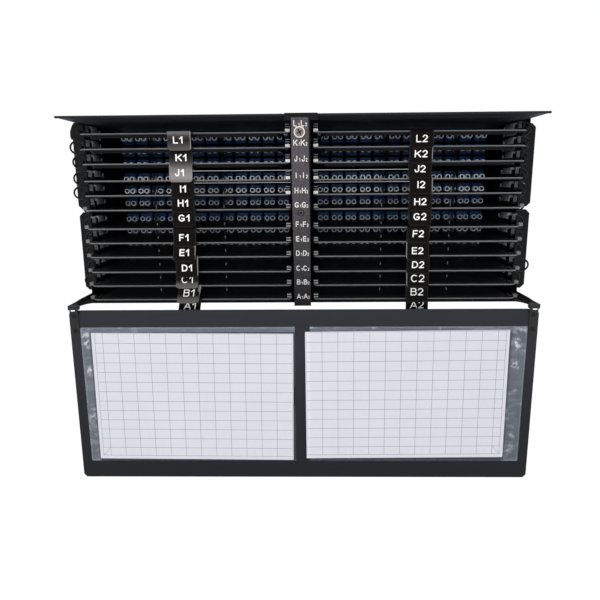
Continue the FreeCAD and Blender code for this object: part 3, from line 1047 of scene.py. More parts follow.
@dataclass
class Cabinet:
    """The steel body: repainted solids with screws, edge and sealing strips, slot plugs and hinge arms."""

    looks: Finishes
    wall: float = 220.0
    ear: float = 2.0
    arm: float = 1.4
    cover_top: float = 88.0
    rear: float = 300.0
    screw_radius: float = 3.1
    screw_x: float = 205.0
    cover_screws_y: Triple = (20.0, 155.0, 288.0)
    rear_screws_z: Triple = (-70.0, 5.0, 72.0)
    ear_screws_y: float = 20.0
    ear_screws_z: tuple[float, ...] = (-62.0, -24.0, 24.0, 62.0)
    arm_screws_y: Span = (12.0, 36.0)
    window_x: Span = (12.0, 198.0)
    window_z: Span = (22.0, 56.0)
    trim_out: float = 1.4
    trim_in: float = 0.8
    strips_z: tuple[Span, ...] = ((22.4, 28.15), (28.45, 46.95), (47.35, 55.9))
    slot_x: Span = (227.65, 237.45)
    slot_half: float = 3.25
    slots_z: tuple[float, ...] = (-66.7, -22.2, 22.2, 66.7)
    arm_top: float = -83.3

    def paint(self, nodes: dict[str, Piece]) -> None:
        """Gives the solids that stay in sight their finishes.

        Args:
            nodes: the frame's solids by name.
        """
        looks = self.looks
        coats = {
            "chassis_shell": looks.shell_paint, "top_cover": looks.cover_paint,
            "mounting_ears": looks.shell_paint, "centre_divider": looks.guide_paint,
            "side_guides": looks.guide_paint, "index_bar": looks.shell_paint,
            "door_panel": looks.door_paint, "hinge_leaves": looks.leaf_paint,
        }
        for node, coat in coats.items():
            dress(nodes[node], coat)

    def fasteners(self) -> Piece:
        """Screws of the cover, the ears, the hinge arms and the rear wall.

        Returns:
            The screws.
        """
        head = pan_screw(self.screw_radius)
        columns = (-self.screw_x, 0.0, self.screw_x)
        top = [(x, y, self.cover_top) for x in columns for y in self.cover_screws_y]
        skin = head.placed((0, 0, 1), top)
        for sign in (-1, 1):
            ears = [(sign * (self.wall + self.ear), self.ear_screws_y, z) for z in self.ear_screws_z]
            arms = [(sign * (self.wall + self.arm), y, HINGE.z) for y in self.arm_screws_y]
            skin.join(head.placed((sign, 0, 0), ears + arms))
        rear = [(x, self.rear, z) for x in (-self.screw_x, self.screw_x) for z in self.rear_screws_z]
        skin.join(head.placed((0, 1, 0), rear))
        return skin.build("cabinet_screws", [self.looks.dark_screw, self.looks.guide_paint])

    def window_trim(self) -> Piece:
        """Rubber edge strips in the rear cable windows: a square profile carried round the opening.

        Returns:
            The strips.
        """
        skin = Skin()
        for side in Side:
            x = tuple(sorted(side.sign * edge for edge in self.window_x))
            outer = rectangle(grown(x, self.trim_out), grown(self.window_z, self.trim_out), 3.4, 5)
            inner = rectangle(grown(x, -self.trim_in), grown(self.window_z, -self.trim_in), 2.0, 5)
            levels = [(outer, 0.2), (outer, 1.0), (inner, 1.0), (inner, -2.2), (outer, -2.2), (outer, -1.4)]
            rings = np.stack([stand(loop, Axis.Y, self.rear + level) for loop, level in levels])
            skin.grid(rings, close_rows=True, close_columns=True)
        return skin.build("rear_window_trim", [self.looks.guide_paint])

    def entry_strips(self) -> Piece:
        """Soft rubber strips across the rear windows, with narrow slits between them for the cables."""
        skin = Skin()
        for strip in self.strips_z:
            outline = rectangle(grown(self.window_x, 0.2), strip, 0.5)
            skin.slab(outline, Axis.Y, (self.rear - 1.1, self.rear - 0.1), 0.2)
        return skin.paired().build("rear_entry_strips", [self.looks.guide_paint])

    def slot_plugs(self) -> Piece:
        """Black push-in plugs that close the rack slots until the screws go in."""
        plug = Skin()
        plug.slab(rectangle(self.slot_x, around(0.0, self.slot_half), 3.2, 6), Axis.Y, (0.25, 1.8), 0.2)
        plugs = plug.moved([(0.0, 0.0, z) for z in self.slots_z])
        return plugs.paired().build("rack_slot_plugs", [self.looks.shell_paint])

    def side_seals(self) -> Piece:
        """Dark strips before the ears: under the canopy's side, beside the lowest tray and below it.

        Returns:
            The strips.
        """
        inside = self.wall - 0.1
        seals = Skin()
        canopy = rectangle((-39.2, -0.3), (80.0, 87.6), 0.5)
        seals.slab(canopy, Axis.X, (self.wall + 0.05, self.wall + 0.7), 0.1)
        beside = rectangle((-38.0, -0.5), (-88.0, -75.0), 0.5)
        seals.slab(beside, Axis.X, (inside - 1.0, inside), 0.1)
        below = [(-9.0, -0.5), (-9.0, -60.5), (-4.5, -66.0), (-0.6, -78.0), (0.0, -0.5)]
        seals.slab(rounded([(inside + x, y) for x, y in below], 0.3, 3), Axis.Z, (-88.7, -87.55), 0.1)
        return seals.paired().build("side_seals", [self.looks.ring_plastic])

    def hinge_arms(self) -> Piece:
        """The door's arms: flat bars along the body, set inwards at the door, each with a riveted pin.

        A bar's section is lofted through stations of depth, distance inwards and height of the lower edge.

        Returns:
            Both arms.
        """
        middle = self.wall + 0.75
        stations = [
            (45.0, 0.0, -89.0), (-60.0, 0.0, -89.0), (-66.0, 0.1, -89.0),
            (-80.0, 1.25, -87.7), (-97.4, 1.25, -87.7),
        ]
        rings = [
            stand(rectangle(around(middle - inwards, self.arm / 2), (low, self.arm_top), 0.3), Axis.Y, y)
            for y, inwards, low in stations
        ]
        arm = Skin()
        arm.loft(np.stack(rings))
        arm.lathe([(HINGE.pin, HINGE.ends[0] + 0.2), (HINGE.pin, middle)], HINGE.centre, Axis.X, 16)
        rivet = Skin()
        rivet.lathe([(1.9, -0.1), (1.7, 0.35), (0.9, 0.6), (0.05, 0.65)], (0, 0, 0), Axis.Z, 16)
        arm.join(rivet.placed((1, 0, 0), [(middle - 0.55, HINGE.y, HINGE.z)]))
        arms = arm.paired().build("hinge_arm_bars", [self.looks.leaf_paint])
        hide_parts("hinge_arms")
        return arms

    def build(self) -> list[Piece]:
        """Makes the body's own pieces and lets them ride on it."""
        small = [self.fasteners(), self.window_trim(), self.entry_strips(), self.slot_plugs()]
        return riding([*small, self.side_seals(), self.hinge_arms()], "enclosure")


@dataclass
class SideGuides:
    """Clips on the side guides: a square, a boss and a hook for each tray."""

    looks: Finishes
    floors: list[float]
    face: float = 213.5
    back: float = 217.5
    low: float = 4.6
    high: float = 10.9
    square_y: Span = (-27.8, -26.3)
    hook_gap: float = 7.5
    hook: float = 1.6
    bosses: dict[Side, Span] = table({Side.LEFT: (-19.2, -1.6), Side.RIGHT: (-14.5, 9.0)})

    def clip(self, side: Side) -> Skin:
        """The clip of one tray, as plates with broken edges, drawn on the right above a floor at z = 0.

        Args:
            side: the side whose boss it has.

        Returns:
            The clip.
        """
        skin = Skin()
        # The boss is painted lighter and the square darker than the clip plastic, for how each face is lit.
        boss = rectangle((self.face, self.back), self.bosses[side], 0.3)
        skin.slab(boss, Axis.Z, (self.low, self.high), 0.3)
        square = rectangle((self.face, self.back + 1.1), (self.low, self.high), 0.5)
        skin.slab(square, Axis.Y, self.square_y, 0.2, 1)
        end = self.bosses[side][1] + self.hook_gap
        for height, reach in ((1.7, 8.0), (4.2, 2.0)):
            hook = rectangle((self.face, self.face + self.hook), (end - reach, end), 0.3)
            skin.slab(hook, Axis.Z, (self.low, self.low + height), 0.2)
        return skin

    def build(self) -> list[Piece]:
        """Makes the clips of both sides as one piece."""
        shifts = [(0.0, 0.0, floor) for floor in self.floors]
        skin = Skin()
        for side in Side:
            skin.join(self.clip(side).moved(shifts).mirrored(side.sign))
        clips = skin.build("guide_clips", [self.looks.boss_plastic, self.looks.square_plastic])
        return riding([clips], "enclosure")


@dataclass
class TrayStack:
    """The splice trays with their front beads, cable rings, end blocks, adapters and dust caps.

    Every piece is drawn for a right-hand tray whose floor is at z = 0.
    """

    looks: Finishes
    inner: float = 11.0
    outer: float = 209.2
    front: float = -58.0
    rear: float = 182.0
    run_in: float = 9.0
    run_out: float = 213.0
    run_start: float = -20.0
    sheet: float = 1.2
    belly: float = 3.5
    belly_half: float = 52.0
    first_belly_row: int = 9
    bead: float = 0.6
    bead_rear: float = -36.0
    tongue: float = 113.0
    tongue_half: float = 10.75
    rim_start: float = 90.0
    rim_half: float = 0.6
    rim_height: float = 8.0
    comb_ribs: int = 13
    comb_half: float = 55.2
    comb_y: Span = (105.0, 139.0)
    posts_x: Span = (90.8, 170.5)
    fibre_clips_x: Span = (82.5, 153.8)
    blocks_y: Span = (-56.0, -50.0)
    last_grey_row: int = 6
    pitch: float = 16.24
    first: float = 23.1
    adapters: int = 12
    adapter_half: float = 6.8
    adapter_height: float = 9.6
    adapter_face: float = 58.6
    cap_radius: float = 2.92
    cap_bore: float = 1.75
    cap_rise: float = 2.95
    cap_side: float = 3.34
    cap_drops: dict[str, float] = table({"I": 0.3})
    # Painted shade: the caps of these rows are made darker to match how lit they look.
    cap_grades: dict[str, CapGrade] = table({
        "G": CapGrade.FROSTED, "F": CapGrade.DULL, "E": CapGrade.FROSTED,
    })
    ring_y: float = -40.0
    ring_wire: float = 0.95
    ring_z: float = 2.9
    ring_half: float = 5.95
    ring_reach: float = 221.2
    flap_step: float = 220.5
    flap_rings: tuple[str, ...] = ("L1",)
    rings: dict[str, float] = table({
        "L1": 226.9, "K1": 228.9, "J1": 227.4, "I1": 228.0, "H1": 229.0, "B1": 225.5, "C2": 229.3,
    })

    def floor_plate(self, row: int) -> Skin:
        """Floor, tongue and rear rim: two plates with broken edges, and a wall carried round the rear.

        Args:
            row: the row's number from below; the lowest has no runner, the top rows have a belly.

        Returns:
            The tray's shell.
        """
        skin = Skin()
        run = self.outer if row == 0 else self.run_out
        corners = [
            (self.inner, self.front), (self.outer, self.front), (self.outer, self.run_start),
            (run + 0.01, self.run_start + 2.0), (run, self.rear), (self.run_in, self.rear),
            (self.run_in, self.run_start + 1.0), (self.inner, self.run_start),
        ]
        radii = [4.5, 4.5, 0.4, 0.4, 4.0, 4.0, 0.4, 0.4]
        skin.slab(rounded(corners, radii, 6), Axis.Z, (-self.sheet, 0.0), 0.25, under=1)
        tongue = rectangle(around(self.tongue, self.tongue_half), (self.front - 3.5, self.front + 1.5), 1.2)
        skin.slab(tongue, Axis.Z, (-self.sheet, -0.05), 0.25)
        half, tall = self.rim_half, self.rim_height
        wall = rounded([(-half, -0.3), (half, -0.3), (half, tall), (-half, tall)], [0.1, 0.1, 0.5, 0.5], 3)
        near, far, back = self.run_in + half, run - half, self.rear - half
        line = [(near, self.rim_start), (near, back), (far, back), (far, self.rim_start)]
        skin.carry(stand(bent_path(line, 6.0), Axis.Z, 0.0), wall, (0, 0, 1))
        if row >= self.first_belly_row:
            belly = rectangle((self.inner + 8.0, self.outer - 5.0), around(0.0, self.belly_half), 5.0, 5)
            skin.slab(belly, Axis.Z, (-self.belly, -1.0), 0.3, coat=2, under=1)
        return skin

    def front_edge(self) -> Skin:
        """The round bead along the front edge, turned back at both ends."""
        near, far = self.inner + self.bead, self.outer + 1.6
        edge = self.front + self.bead - 0.2
        line = [(far, self.bead_rear), (far, edge), (near, edge), (near, self.bead_rear)]
        skin = Skin()
        skin.tube(stand(bent_path(line, 4.0), Axis.Z, 0.1), self.bead, (0, 0, 1))
        return skin

    def cable_ring(self, reach: float, flap: bool) -> Skin:
        """A soft cable ring beside the outer end: a half ellipse, or a flap, on a post and a foot.

        Args:
            reach: how far out the ring comes.
            flap: whether the ring is a broad flap.

        Returns:
            The ring.
        """
        skin = Skin()
        inside = self.outer + 4.0
        if flap:
            edge = [
                (3.3, -3.8), (0.9, -3.4), (0.1, -1.2), (0.0, 2.0),
                (0.3, 4.3), (1.4, 7.4), (2.8, 10.2), (4.4, 12.4),
            ]
            outline = [(inside, -3.8), *((reach - x, z) for x, z in edge)]
            outline += [(self.flap_step, 12.6), (self.flap_step, 11.0), (inside, 11.0)]
            skin.slab(rounded(outline, 0.3, 3), Axis.Y, around(self.ring_y, 0.6), 0.2)
        else:
            turn = np.linspace(np.pi / 2, -np.pi / 2, 15)
            middle = max(inside + 1.0, reach - 8.0)
            x = middle + (reach - self.ring_wire - middle) * np.cos(turn)
            bend = np.stack([x, self.ring_z + self.ring_half * np.sin(turn)], axis=-1)
            low, high = around(self.ring_z, self.ring_half)
            loop = np.vstack([(inside, high), bend, (inside, low)])
            skin.tube(stand(loop, Axis.Y, self.ring_y), self.ring_wire, (0, 1, 0), 8)
        post = rectangle((inside - 0.4, inside + 2.2), (-3.9, 9.7), 0.6)
        skin.slab(post, Axis.Y, around(self.ring_y, 1.4), 0.3)
        foot = rectangle((self.outer - 2.0, inside + 0.6), around(self.ring_y, 1.0), 0.4)
        skin.slab(foot, Axis.Z, (-1.2, 0.3), 0.2)
        return skin

    def splice_comb(self) -> Skin:
        """The splice holder: the outline of a comb, carried from front to rear.

        Returns:
            The holder.
        """
        middle = (self.inner + self.outer) / 2
        ribs = np.linspace(*around(middle, self.comb_half), self.comb_ribs)
        rib = np.array([(-0.8, 2.0), (-0.55, 6.0), (0.55, 6.0), (0.8, 2.0)])
        teeth = np.stack(np.broadcast_arrays(ribs[:, None] + rib[:, 0], rib[:, 1]), axis=-1).reshape(-1, 2)
        left, right = around(middle, self.comb_half + 0.8)
        outline = np.vstack([(left, -0.2), teeth, (right, -0.2)])
        skin = Skin()
        skin.loft(np.stack([stand(outline, Axis.Y, level) for level in self.comb_y]))
        return skin

    def guide_posts(self) -> Skin:
        """Slim fibre posts with a top arm, in front of the adapters."""
        skin = Skin()
        for x in self.posts_x:
            skin.slab(rectangle(around(x, 1.4), (-0.2, 8.4), 0.5), Axis.Y, (42.0, 45.0), 0.3)
            skin.slab(rectangle(around(x, 3.0), (42.2, 48.0), 0.8), Axis.Z, (7.4, 8.6), 0.3)
        return skin

    def end_blocks(self, row: int) -> Skin:
        """The clips at the bead's ends, and two small fibre clips on the floor.

        Inside, the upper rows have a pale block with two dull bars over it, and the lower rows two bars.

        Args:
            row: the row's number from below.

        Returns:
            The blocks.
        """
        skin = Skin()
        near, far = self.inner + 0.2, self.inner + 4.6
        bars = [(1.4, 2.5, 0), (3.8, 4.8, 1)]
        if row > self.last_grey_row:
            bars = [(0.5, 3.5, 0), (5.0, 5.9, 1), (7.2, 8.1, 1)]
        for low, high, coat in bars:
            skin.slab(rectangle((near, far), (low, high), 0.3), Axis.Y, self.blocks_y, 0.2, coat)
        stem = rectangle(grown((near, far), -0.4), (-51.6, -50.0), 0.4)
        skin.slab(stem, Axis.Z, (-0.1, bars[-1][1] - 0.3), 0.2, coat=3)
        end = self.outer + 5.0
        skin.slab(rectangle((self.outer + 1.2, end), (0.3, 3.7), 0.6), Axis.Y, self.blocks_y, 0.4, coat=2)
        foot = rectangle((self.outer - 3.0, end - 1.0), (-52.5, -50.5), 0.4)
        skin.slab(foot, Axis.Z, (-0.1, 1.2), 0.2, coat=3)
        for x in self.fibre_clips_x:
            skin.slab(rectangle(around(x, 0.5), (-0.1, 2.8), 0.2), Axis.Y, (-13.0, -11.0), 0.1, coat=4)
        return skin

    def adapter_bank(self) -> Skin:
        """Duplex adapters: a chamfered body lofted from front to rear with a flange in its middle.

        Returns:
            A tray's adapters.
        """
        body = rectangle(around(0.0, self.adapter_half), (0.0, self.adapter_height), 0.7, 2)
        stations = [
            (0.0, 0.6), (0.4, 0.2), (11.0, 0.2), (11.1, 0.02),
            (14.4, 0.02), (14.5, 0.2), (26.6, 0.2), (27.0, 0.6),
        ]
        rings = [stand(inset(body, drawn), Axis.Y, self.adapter_face + level) for level, drawn in stations]
        skin = Skin()
        skin.loft(np.stack(rings))
        return skin.moved(self.places())

    def dust_caps(self, letter: str) -> Skin:
        """Two round caps on each adapter of a row: a turned rim outside, and inside a turned bore painted dark
        for the shade in it.

        Args:
            letter: the row's letter.

        Returns:
            The row's caps.
        """
        rise = self.cap_rise - self.cap_drops.get(letter, 0.0)
        wide, bore, face = self.cap_radius, self.cap_bore, self.adapter_face
        lip, top = (bore, face - 5.2), face - 5.5
        rim = [(wide, face + 0.3), (wide, face - 5.1), (2.7, top), (2.0, top), lip]
        hole = [lip, (1.6, face - 1.5), (0.02, face - 1.4)]
        skin = Skin()
        for shift in (-self.cap_side, self.cap_side):
            skin.lathe(rim, (shift, 0, rise), Axis.Y, 12, ends=(False, False))
            skin.lathe(hole, (shift, 0, rise), Axis.Y, 12, coat=1, ends=(False, True))
        return skin.moved(self.places())

    def block_finishes(self, row: int) -> list[Material]:
        """Finishes of a row's end blocks: low bar, upper bars, outer block, arms and fibre clips.

        Args:
            row: the row's number from below.

        Returns:
            The finishes in the order of the coats.
        """
        looks = self.looks
        if row > self.last_grey_row:
            bars = [looks.block_plastic, looks.dull_plastic, looks.ring_plastic]
        else:
            bars = [looks.clip_plastic, looks.clip_plastic, looks.dull_plastic]
        return bars + [looks.ring_plastic, looks.dull_plastic]

    def places(self) -> Array:
        """Where the adapters stand on a right-hand tray."""
        x = self.first + self.pitch * np.arange(self.adapters)
        return np.stack([x, np.zeros_like(x), np.zeros_like(x)], axis=-1)

    def build(self) -> list[Piece]:
        """Makes every tray's pieces and lets them ride on their tray.

        Returns:
            The new pieces.
        """
        pieces = []
        looks = self.looks
        edge = self.front_edge()
        inside = self.splice_comb()
        inside.join(self.guide_posts())
        bank = self.adapter_bank()
        shell_coats = [looks.tray_plastic, looks.tray_gloss, looks.ring_plastic]
        for row, side, name in trays():
            letter = name[0]
            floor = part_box(f"adapters_{name}")[0].z / MM
            shell = self.floor_plate(row)
            shell.join(inside)
            ring = self.cable_ring(self.rings.get(name, self.ring_reach), name in self.flap_rings)
            cap = looks.cap_plastics[self.cap_grades.get(letter, CapGrade.CLEAR)]
            jobs = [
                ("tray_shell", shell, shell_coats, "black_plastic", f"tray_{name}"),
                # The bead's grey finish is a painted highlight on the black edge.
                ("tray_edge", edge, [looks.rod_plastic], "black_plastic", None),
                ("cable_ring", ring, [looks.ring_plastic], "black_plastic", None),
                ("end_blocks", self.end_blocks(row), self.block_finishes(row), None, None),
                ("adapter_bank", bank, [looks.adapter_plastic], "blue_plastic", f"adapters_{name}"),
                ("dust_caps", self.dust_caps(letter), [cap, looks.bore_plastic], None, None),
            ]
            for kind, skin, coats, slot, node in jobs:
                if kind == "cable_ring" and row == 0:
                    continue
                piece = skin.moved([(0.0, 0.0, floor)]).mirrored(side.sign).build(f"{kind}_{name}", coats)
                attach(piece, f"splice_tray_{name}")
                if node:
                    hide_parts(node)
                pieces.append(piece)
        return pieces


@dataclass(frozen=True)
class Alphabet:
    """Plain capitals and figures drawn as strokes of even width, with a cap height of one.

    A stroke is a line of points in a unit box, or an arc (centre x, centre y, radius x, radius y, from, to)
    in degrees.
    """

    weight: float = 0.2
    gap: float = 0.16

    @property
    def shapes(self) -> dict[str, tuple[float, list[tuple]]]:
        """Each character's width and strokes."""
        stem = ((0, 0), (0, 1))
        foot, head = ((0, 0), (1, 0)), ((0, 1), (1, 1))
        return {
            "A": (0.92, [((0, 0), (0.5, 1), (1, 0)), ((0.16, 0.3), (0.84, 0.3))]),
            "B": (0.76, [stem, ((0, 1), (0.62, 1)), (0.62, 0.77, 0.32, 0.23, 90, -90),
                         ((0, 0.54), (0.7, 0.54)), (0.68, 0.27, 0.32, 0.27, 90, -90),
                         ((0, 0), (0.7, 0))]),
            "C": (0.84, [(0.5, 0.5, 0.5, 0.5, 48, 312)]),
            "D": (0.8, [stem, ((0, 1), (0.42, 1)), (0.42, 0.5, 0.58, 0.5, 90, -90),
                        ((0.42, 0), (0, 0))]),
            "E": (0.7, [stem, head, ((0, 0.52), (0.92, 0.52)), foot]),
            "F": (0.66, [stem, head, ((0, 0.5), (0.88, 0.5))]),
            "G": (0.88, [(0.5, 0.5, 0.5, 0.5, 46, 322), ((0.55, 0.42), (0.94, 0.42), (0.94, 0.14))]),
            "H": (0.78, [stem, ((1, 0), (1, 1)), ((0, 0.52), (1, 0.52))]),
            "I": (0.2, [((0.5, 0), (0.5, 1))]),
            "J": (0.6, [((1, 1), (1, 0.32)), (0.5, 0.32, 0.5, 0.32, 0, -175)]),
            "K": (0.84, [stem, ((1, 1), (0, 0.36)), ((0.34, 0.6), (1, 0))]),
            "L": (0.66, [stem, foot]),
            "0": (0.64, [(0.5, 0.5, 0.5, 0.5, 0, 360)]),
            "1": (0.44, [((1, 0), (1, 1)), ((1, 1), (0, 0.7))]),
            "2": (0.66, [(0.5, 0.72, 0.5, 0.28, 165, -28), ((0.94, 0.58), (0, 0)), foot]),
            "3": (0.66, [(0.46, 0.75, 0.46, 0.25, 150, -90), (0.46, 0.25, 0.54, 0.26, 90, -150)]),
            "4": (0.7, [((0.75, 0), (0.75, 1), (0, 0.3), (1, 0.3))]),
            "5": (0.66, [((0.95, 1), (0.12, 1), (0.05, 0.48)), (0.45, 0.32, 0.5, 0.32, 130, -150)]),
            "6": (0.66, [(0.5, 0.32, 0.5, 0.32, 0, 360), (0.75, 0.32, 0.75, 0.68, 180, 95)]),
            "7": (0.64, [head, ((1, 1), (0.3, 0))]),
            "8": (0.66, [(0.5, 0.27, 0.5, 0.27, 0, 360), (0.5, 0.76, 0.42, 0.24, 0, 360)]),
            "9": (0.66, [(0.5, 0.68, 0.5, 0.32, 0, 360), (0.25, 0.68, 0.75, 0.68, 0, -85)]),
        }

    def centre_line(self, stroke: tuple) -> Array:
        """A stroke's points: an arc turned in even steps, or a line cut into short pieces.

        Args:
            stroke: the line or arc.

        Returns:
            Points of shape (n, 2).
        """
        if isinstance(stroke[0], float):
            x, y, wide, tall, start, end = stroke
            turn = np.radians(np.linspace(start, end, 4 + int(abs(end - start) / 20)))
            return np.stack([x + wide * np.cos(turn), y + tall * np.sin(turn)], axis=-1)
        points = np.array(stroke)
        place = np.linspace(0, len(points) - 1, 6 * (len(points) - 1) + 1)
        order = np.arange(len(points))
        return np.stack([np.interp(place, order, column) for column in points.T], axis=-1)

    def ribbons(self, text: str, height: float) -> list[Array]:
        """Strokes of a text, centred on the origin: each centre line moved by half the weight to both sides.

        Args:
            text: what to write.
            height: height of a capital.

        Returns:
            Grids of shape (points, 2, 2): the two edges of each stroke.
        """
        half = self.weight / 2
        shapes = self.shapes
        widths = [max(shapes[letter][0], self.weight) for letter in text]
        left = -(sum(widths) + self.gap * (len(text) - 1)) / 2
        strokes = []
        for letter, width in zip(text, widths):
            room = np.array([width - self.weight, 1 - self.weight])
            for stroke in shapes[letter][1]:
                line = self.centre_line(stroke) * room + np.array([left + half, half - 0.5])
                ahead, share = tangents(line, 0.55)
                side = np.stack([-ahead[:, 1], ahead[:, 0]], axis=-1) * (half / share)[:, None]
                line[0] -= ahead[0] * half * 0.9
                line[-1] += ahead[-1] * half * 0.9
                strokes.append(np.stack([line - side, line + side], axis=1) * height)
            left += width + self.gap
        return strokes


class Haze(Enum):
    """How much painted reflection a flag gets, from its top to its foot."""

    NONE = (0.0, 0.0, 0.0, 0.0, 0.0)
    SILVER = (0.62, 0.14, 0.03, 0.14, 0.24)
    FOOT = (0.0, 0.0, 0.01, 0.08, 0.3)
    PALE = (0.36, 0.42, 0.5, 0.66, 0.42)
    DUSTY = (0.0, 0.0, 0.0, 0.0, 0.0, 0.05, 0.25, 0.28, 0.3)


@dataclass
class LabelFlags:
    """Label flags of soft film that hang from the trays' tongues, with their white marks."""

    looks: Finishes
    half: float = 11.0
    film: float = 0.35
    cap: float = 6.7
    thin_cap: float = 7.2
    thin_weight: float = 0.12
    left_weight: float = 0.172
    right_weight: float = 0.152
    letter_width: float = 1.08
    corner: float = 2.6
    usual_below: float = 8.8
    seed: int = 7
    marks: dict[str, Span] = table({
        "L1": (-114.9, -6.7), "K1": (-113.8, -8.9), "J1": (-114.8, -8.7), "I1": (-113.4, -8.0),
        "H1": (-114.1, -7.4), "G1": (-113.8, -7.6), "F1": (-114.2, -8.3), "E1": (-115.3, -9.0),
        "D1": (-113.4, -10.2), "C1": (-113.7, -6.8), "B1": (-112.6, -6.3), "A1": (-112.4, -5.4),
        "L2": (112.2, -7.4), "K2": (111.9, -7.2), "J2": (111.4, -6.9), "I2": (112.9, -5.6),
        "H2": (112.7, -7.6), "G2": (112.8, -7.7), "F2": (111.9, -5.9), "E2": (111.8, -8.4),
        "D2": (112.8, -8.1), "C2": (112.8, -6.7), "B2": (112.6, -6.1), "A2": (113.0, -5.2),
    })
    below: dict[str, float] = table({"B1": 10.4, "D1": 9.2, "L1": 9.6, "B2": 10.4})
    slants: dict[str, float] = table({
        "C1": 0.06, "B1": 0.2, "A1": 0.16, "L1": -0.03, "E1": 0.07, "K2": 0.04, "D2": 0.05, "F2": 0.06,
    })
    nudge: dict[str, float] = table({"L1": -1.1, "J1": -1.2, "F1": -0.7})
    thin: tuple[str, ...] = ("A1", "B1", "C1", "A2", "B2", "C2")
    haze: dict[str, Haze] = table({
        "L1": Haze.SILVER, "K1": Haze.FOOT, "J1": Haze.PALE, "C1": Haze.DUSTY, "B1": Haze.DUSTY,
    })
    worn_edges: dict[str, int] = table({
        "L1": 1, "K2": 1, "I2": 1, "E2": -1, "C2": -1, "E1": 1, "D1": 1, "B1": 1,
    })

    def side_line(self, letter: float, lean: float, below: float) -> Array:
        """The flag from the side: over the tongue, round its front and down, creased at the letters.

        Args:
            letter: height of the letters' middle, from the tray's floor.
            lean: how far the foot hangs forwards.
            below: length below the letters' middle.

        Returns:
            Points (y, z) of a smooth line.
        """
        foot = letter - below
        knots = [
            (-58.6, 1.1), (-60.6, 1.5), (-62.2, 1.0), (-62.8, -0.8),
            (-63.0 - lean * 0.2, letter * 0.45 - 0.4), (-63.5 - lean * 0.4, letter + 0.2),
            (-63.5 - lean * 0.6, letter - 2.6), (-64.4 - lean, foot),
        ]
        return smooth_line(knots, 29)

    def build(self) -> list[Piece]:
        """Makes the flags and their marks.

        Returns:
            The new pieces.
        """
        rng = np.random.default_rng(self.seed)
        flags = []
        for row, side, name in trays():
            centre, height = self.marks[name]
            lean = rng.uniform(0.0, 0.5)
            warp = (rng.uniform(-0.2, 0.2), rng.uniform(0.1, 0.4))
            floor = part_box(f"adapters_{name}")[0].z / MM + 0.3
            line = self.side_line(height, lean, self.below.get(name, self.usual_below))
            film = Film(line, centre, floor, self.half, warp, self.slants.get(name, 0.0), height)
            pieces = [self.flag(name, film), self.mark(name, film)]
            for piece in pieces:
                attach(piece, f"splice_tray_{name}")
                if row > 0:
                    anchor = (centre * MM, -0.062, (floor + 0.5) * MM)
                    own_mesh(piece)
            flags += pieces
        return flags

    def flag(self, name: str, film: "Film") -> Piece:
        """One flag: its film with the lower corners drawn in along quarter circles, and its painted
        reflection.

        Args:
            name: the tray's name.
            film: the flag's surface.

        Returns:
            The flag.
        """
        left = film.length[-1] - film.length
        corner = self.corner
        arc = corner - np.sqrt(np.clip(corner**2 - (corner - left)**2, 0, None))
        drawn = np.where(left < corner, arc, 0.0)
        columns = np.concatenate([[-1.0, -0.95, -0.9], np.linspace(-0.7, 0.7, 7), [0.9, 0.95, 1.0]])
        across = columns[None] * (1 - drawn / self.half)[:, None]
        along = np.broadcast_to(film.length[:, None], across.shape)
        skin = Skin()
        skin.shell(film.at(across, along, 0.0), np.array([0.0, self.film, -0.05]))
        flag = skin.build(f"flag_{name}", [self.looks.label_film], crease=60.0)
        self.stain(flag, name, film)
        return flag

    def stain(self, flag: Piece, name: str, film: "Film") -> None:
        """Writes the painted reflection as an attribute: levels from top to foot, and painted highlights along
        the edges, strong on one side of some flags.

        Args:
            flag: the flag.
            name: the tray's name.
            film: the flag's surface.
        """
        mesh = flag.data
        flat = np.empty(len(mesh.vertices) * 3)
        mesh.vertices.foreach_get("co", flat)
        x, _, z = flat.reshape(-1, 3).T / MM
        z = z - film.floor
        place = (x - film.centre) / self.half
        levels = self.haze.get(name, Haze.NONE).value
        top, foot = film.line[:, 1].max(), film.line[:, 1].min()
        spread = np.interp(top - z, np.linspace(0, top - foot, len(levels)), levels)
        # Painted highlights: lighter sides and foot on every flag, and a strong one on the listed side of
        # some.
        edge = 0.03 * (np.abs(place) > 0.93) + 0.04 * (z < foot + 0.8)
        edge = edge + 0.5 * (place * self.worn_edges.get(name, 0) > 0.93)
        layer = mesh.attributes.new("haze", "FLOAT", "POINT")
        layer.data.foreach_set("value", np.clip(spread + edge, 0, 1))

    def mark(self, name: str, film: "Film") -> Piece:
        """White letters laid on the film: their height runs along the side line, just in front of it.

        Args:
            name: the tray's name, which is what the letters say.
            film: the flag's surface.

        Returns:
            The letters.
        """
        front = np.argmin(film.line[:12, 1] > -0.5)
        middle = np.interp(-film.level, -film.line[front:, 1], film.length[front:])
        weight, cap = self.left_weight if name.endswith("1") else self.right_weight, self.cap
        if name in self.thin:
            weight, cap = self.thin_weight, self.thin_cap
        skin = Skin()
        for ribbon in Alphabet(weight).ribbons(name, cap):
            across = (ribbon[..., 0] * self.letter_width + self.nudge.get(name, 0.0)) / self.half
            skin.grid(film.at(across, middle - ribbon[..., 1], 0.16))
        return flat_piece(skin, f"flag_mark_{name}", self.looks.white_ink)


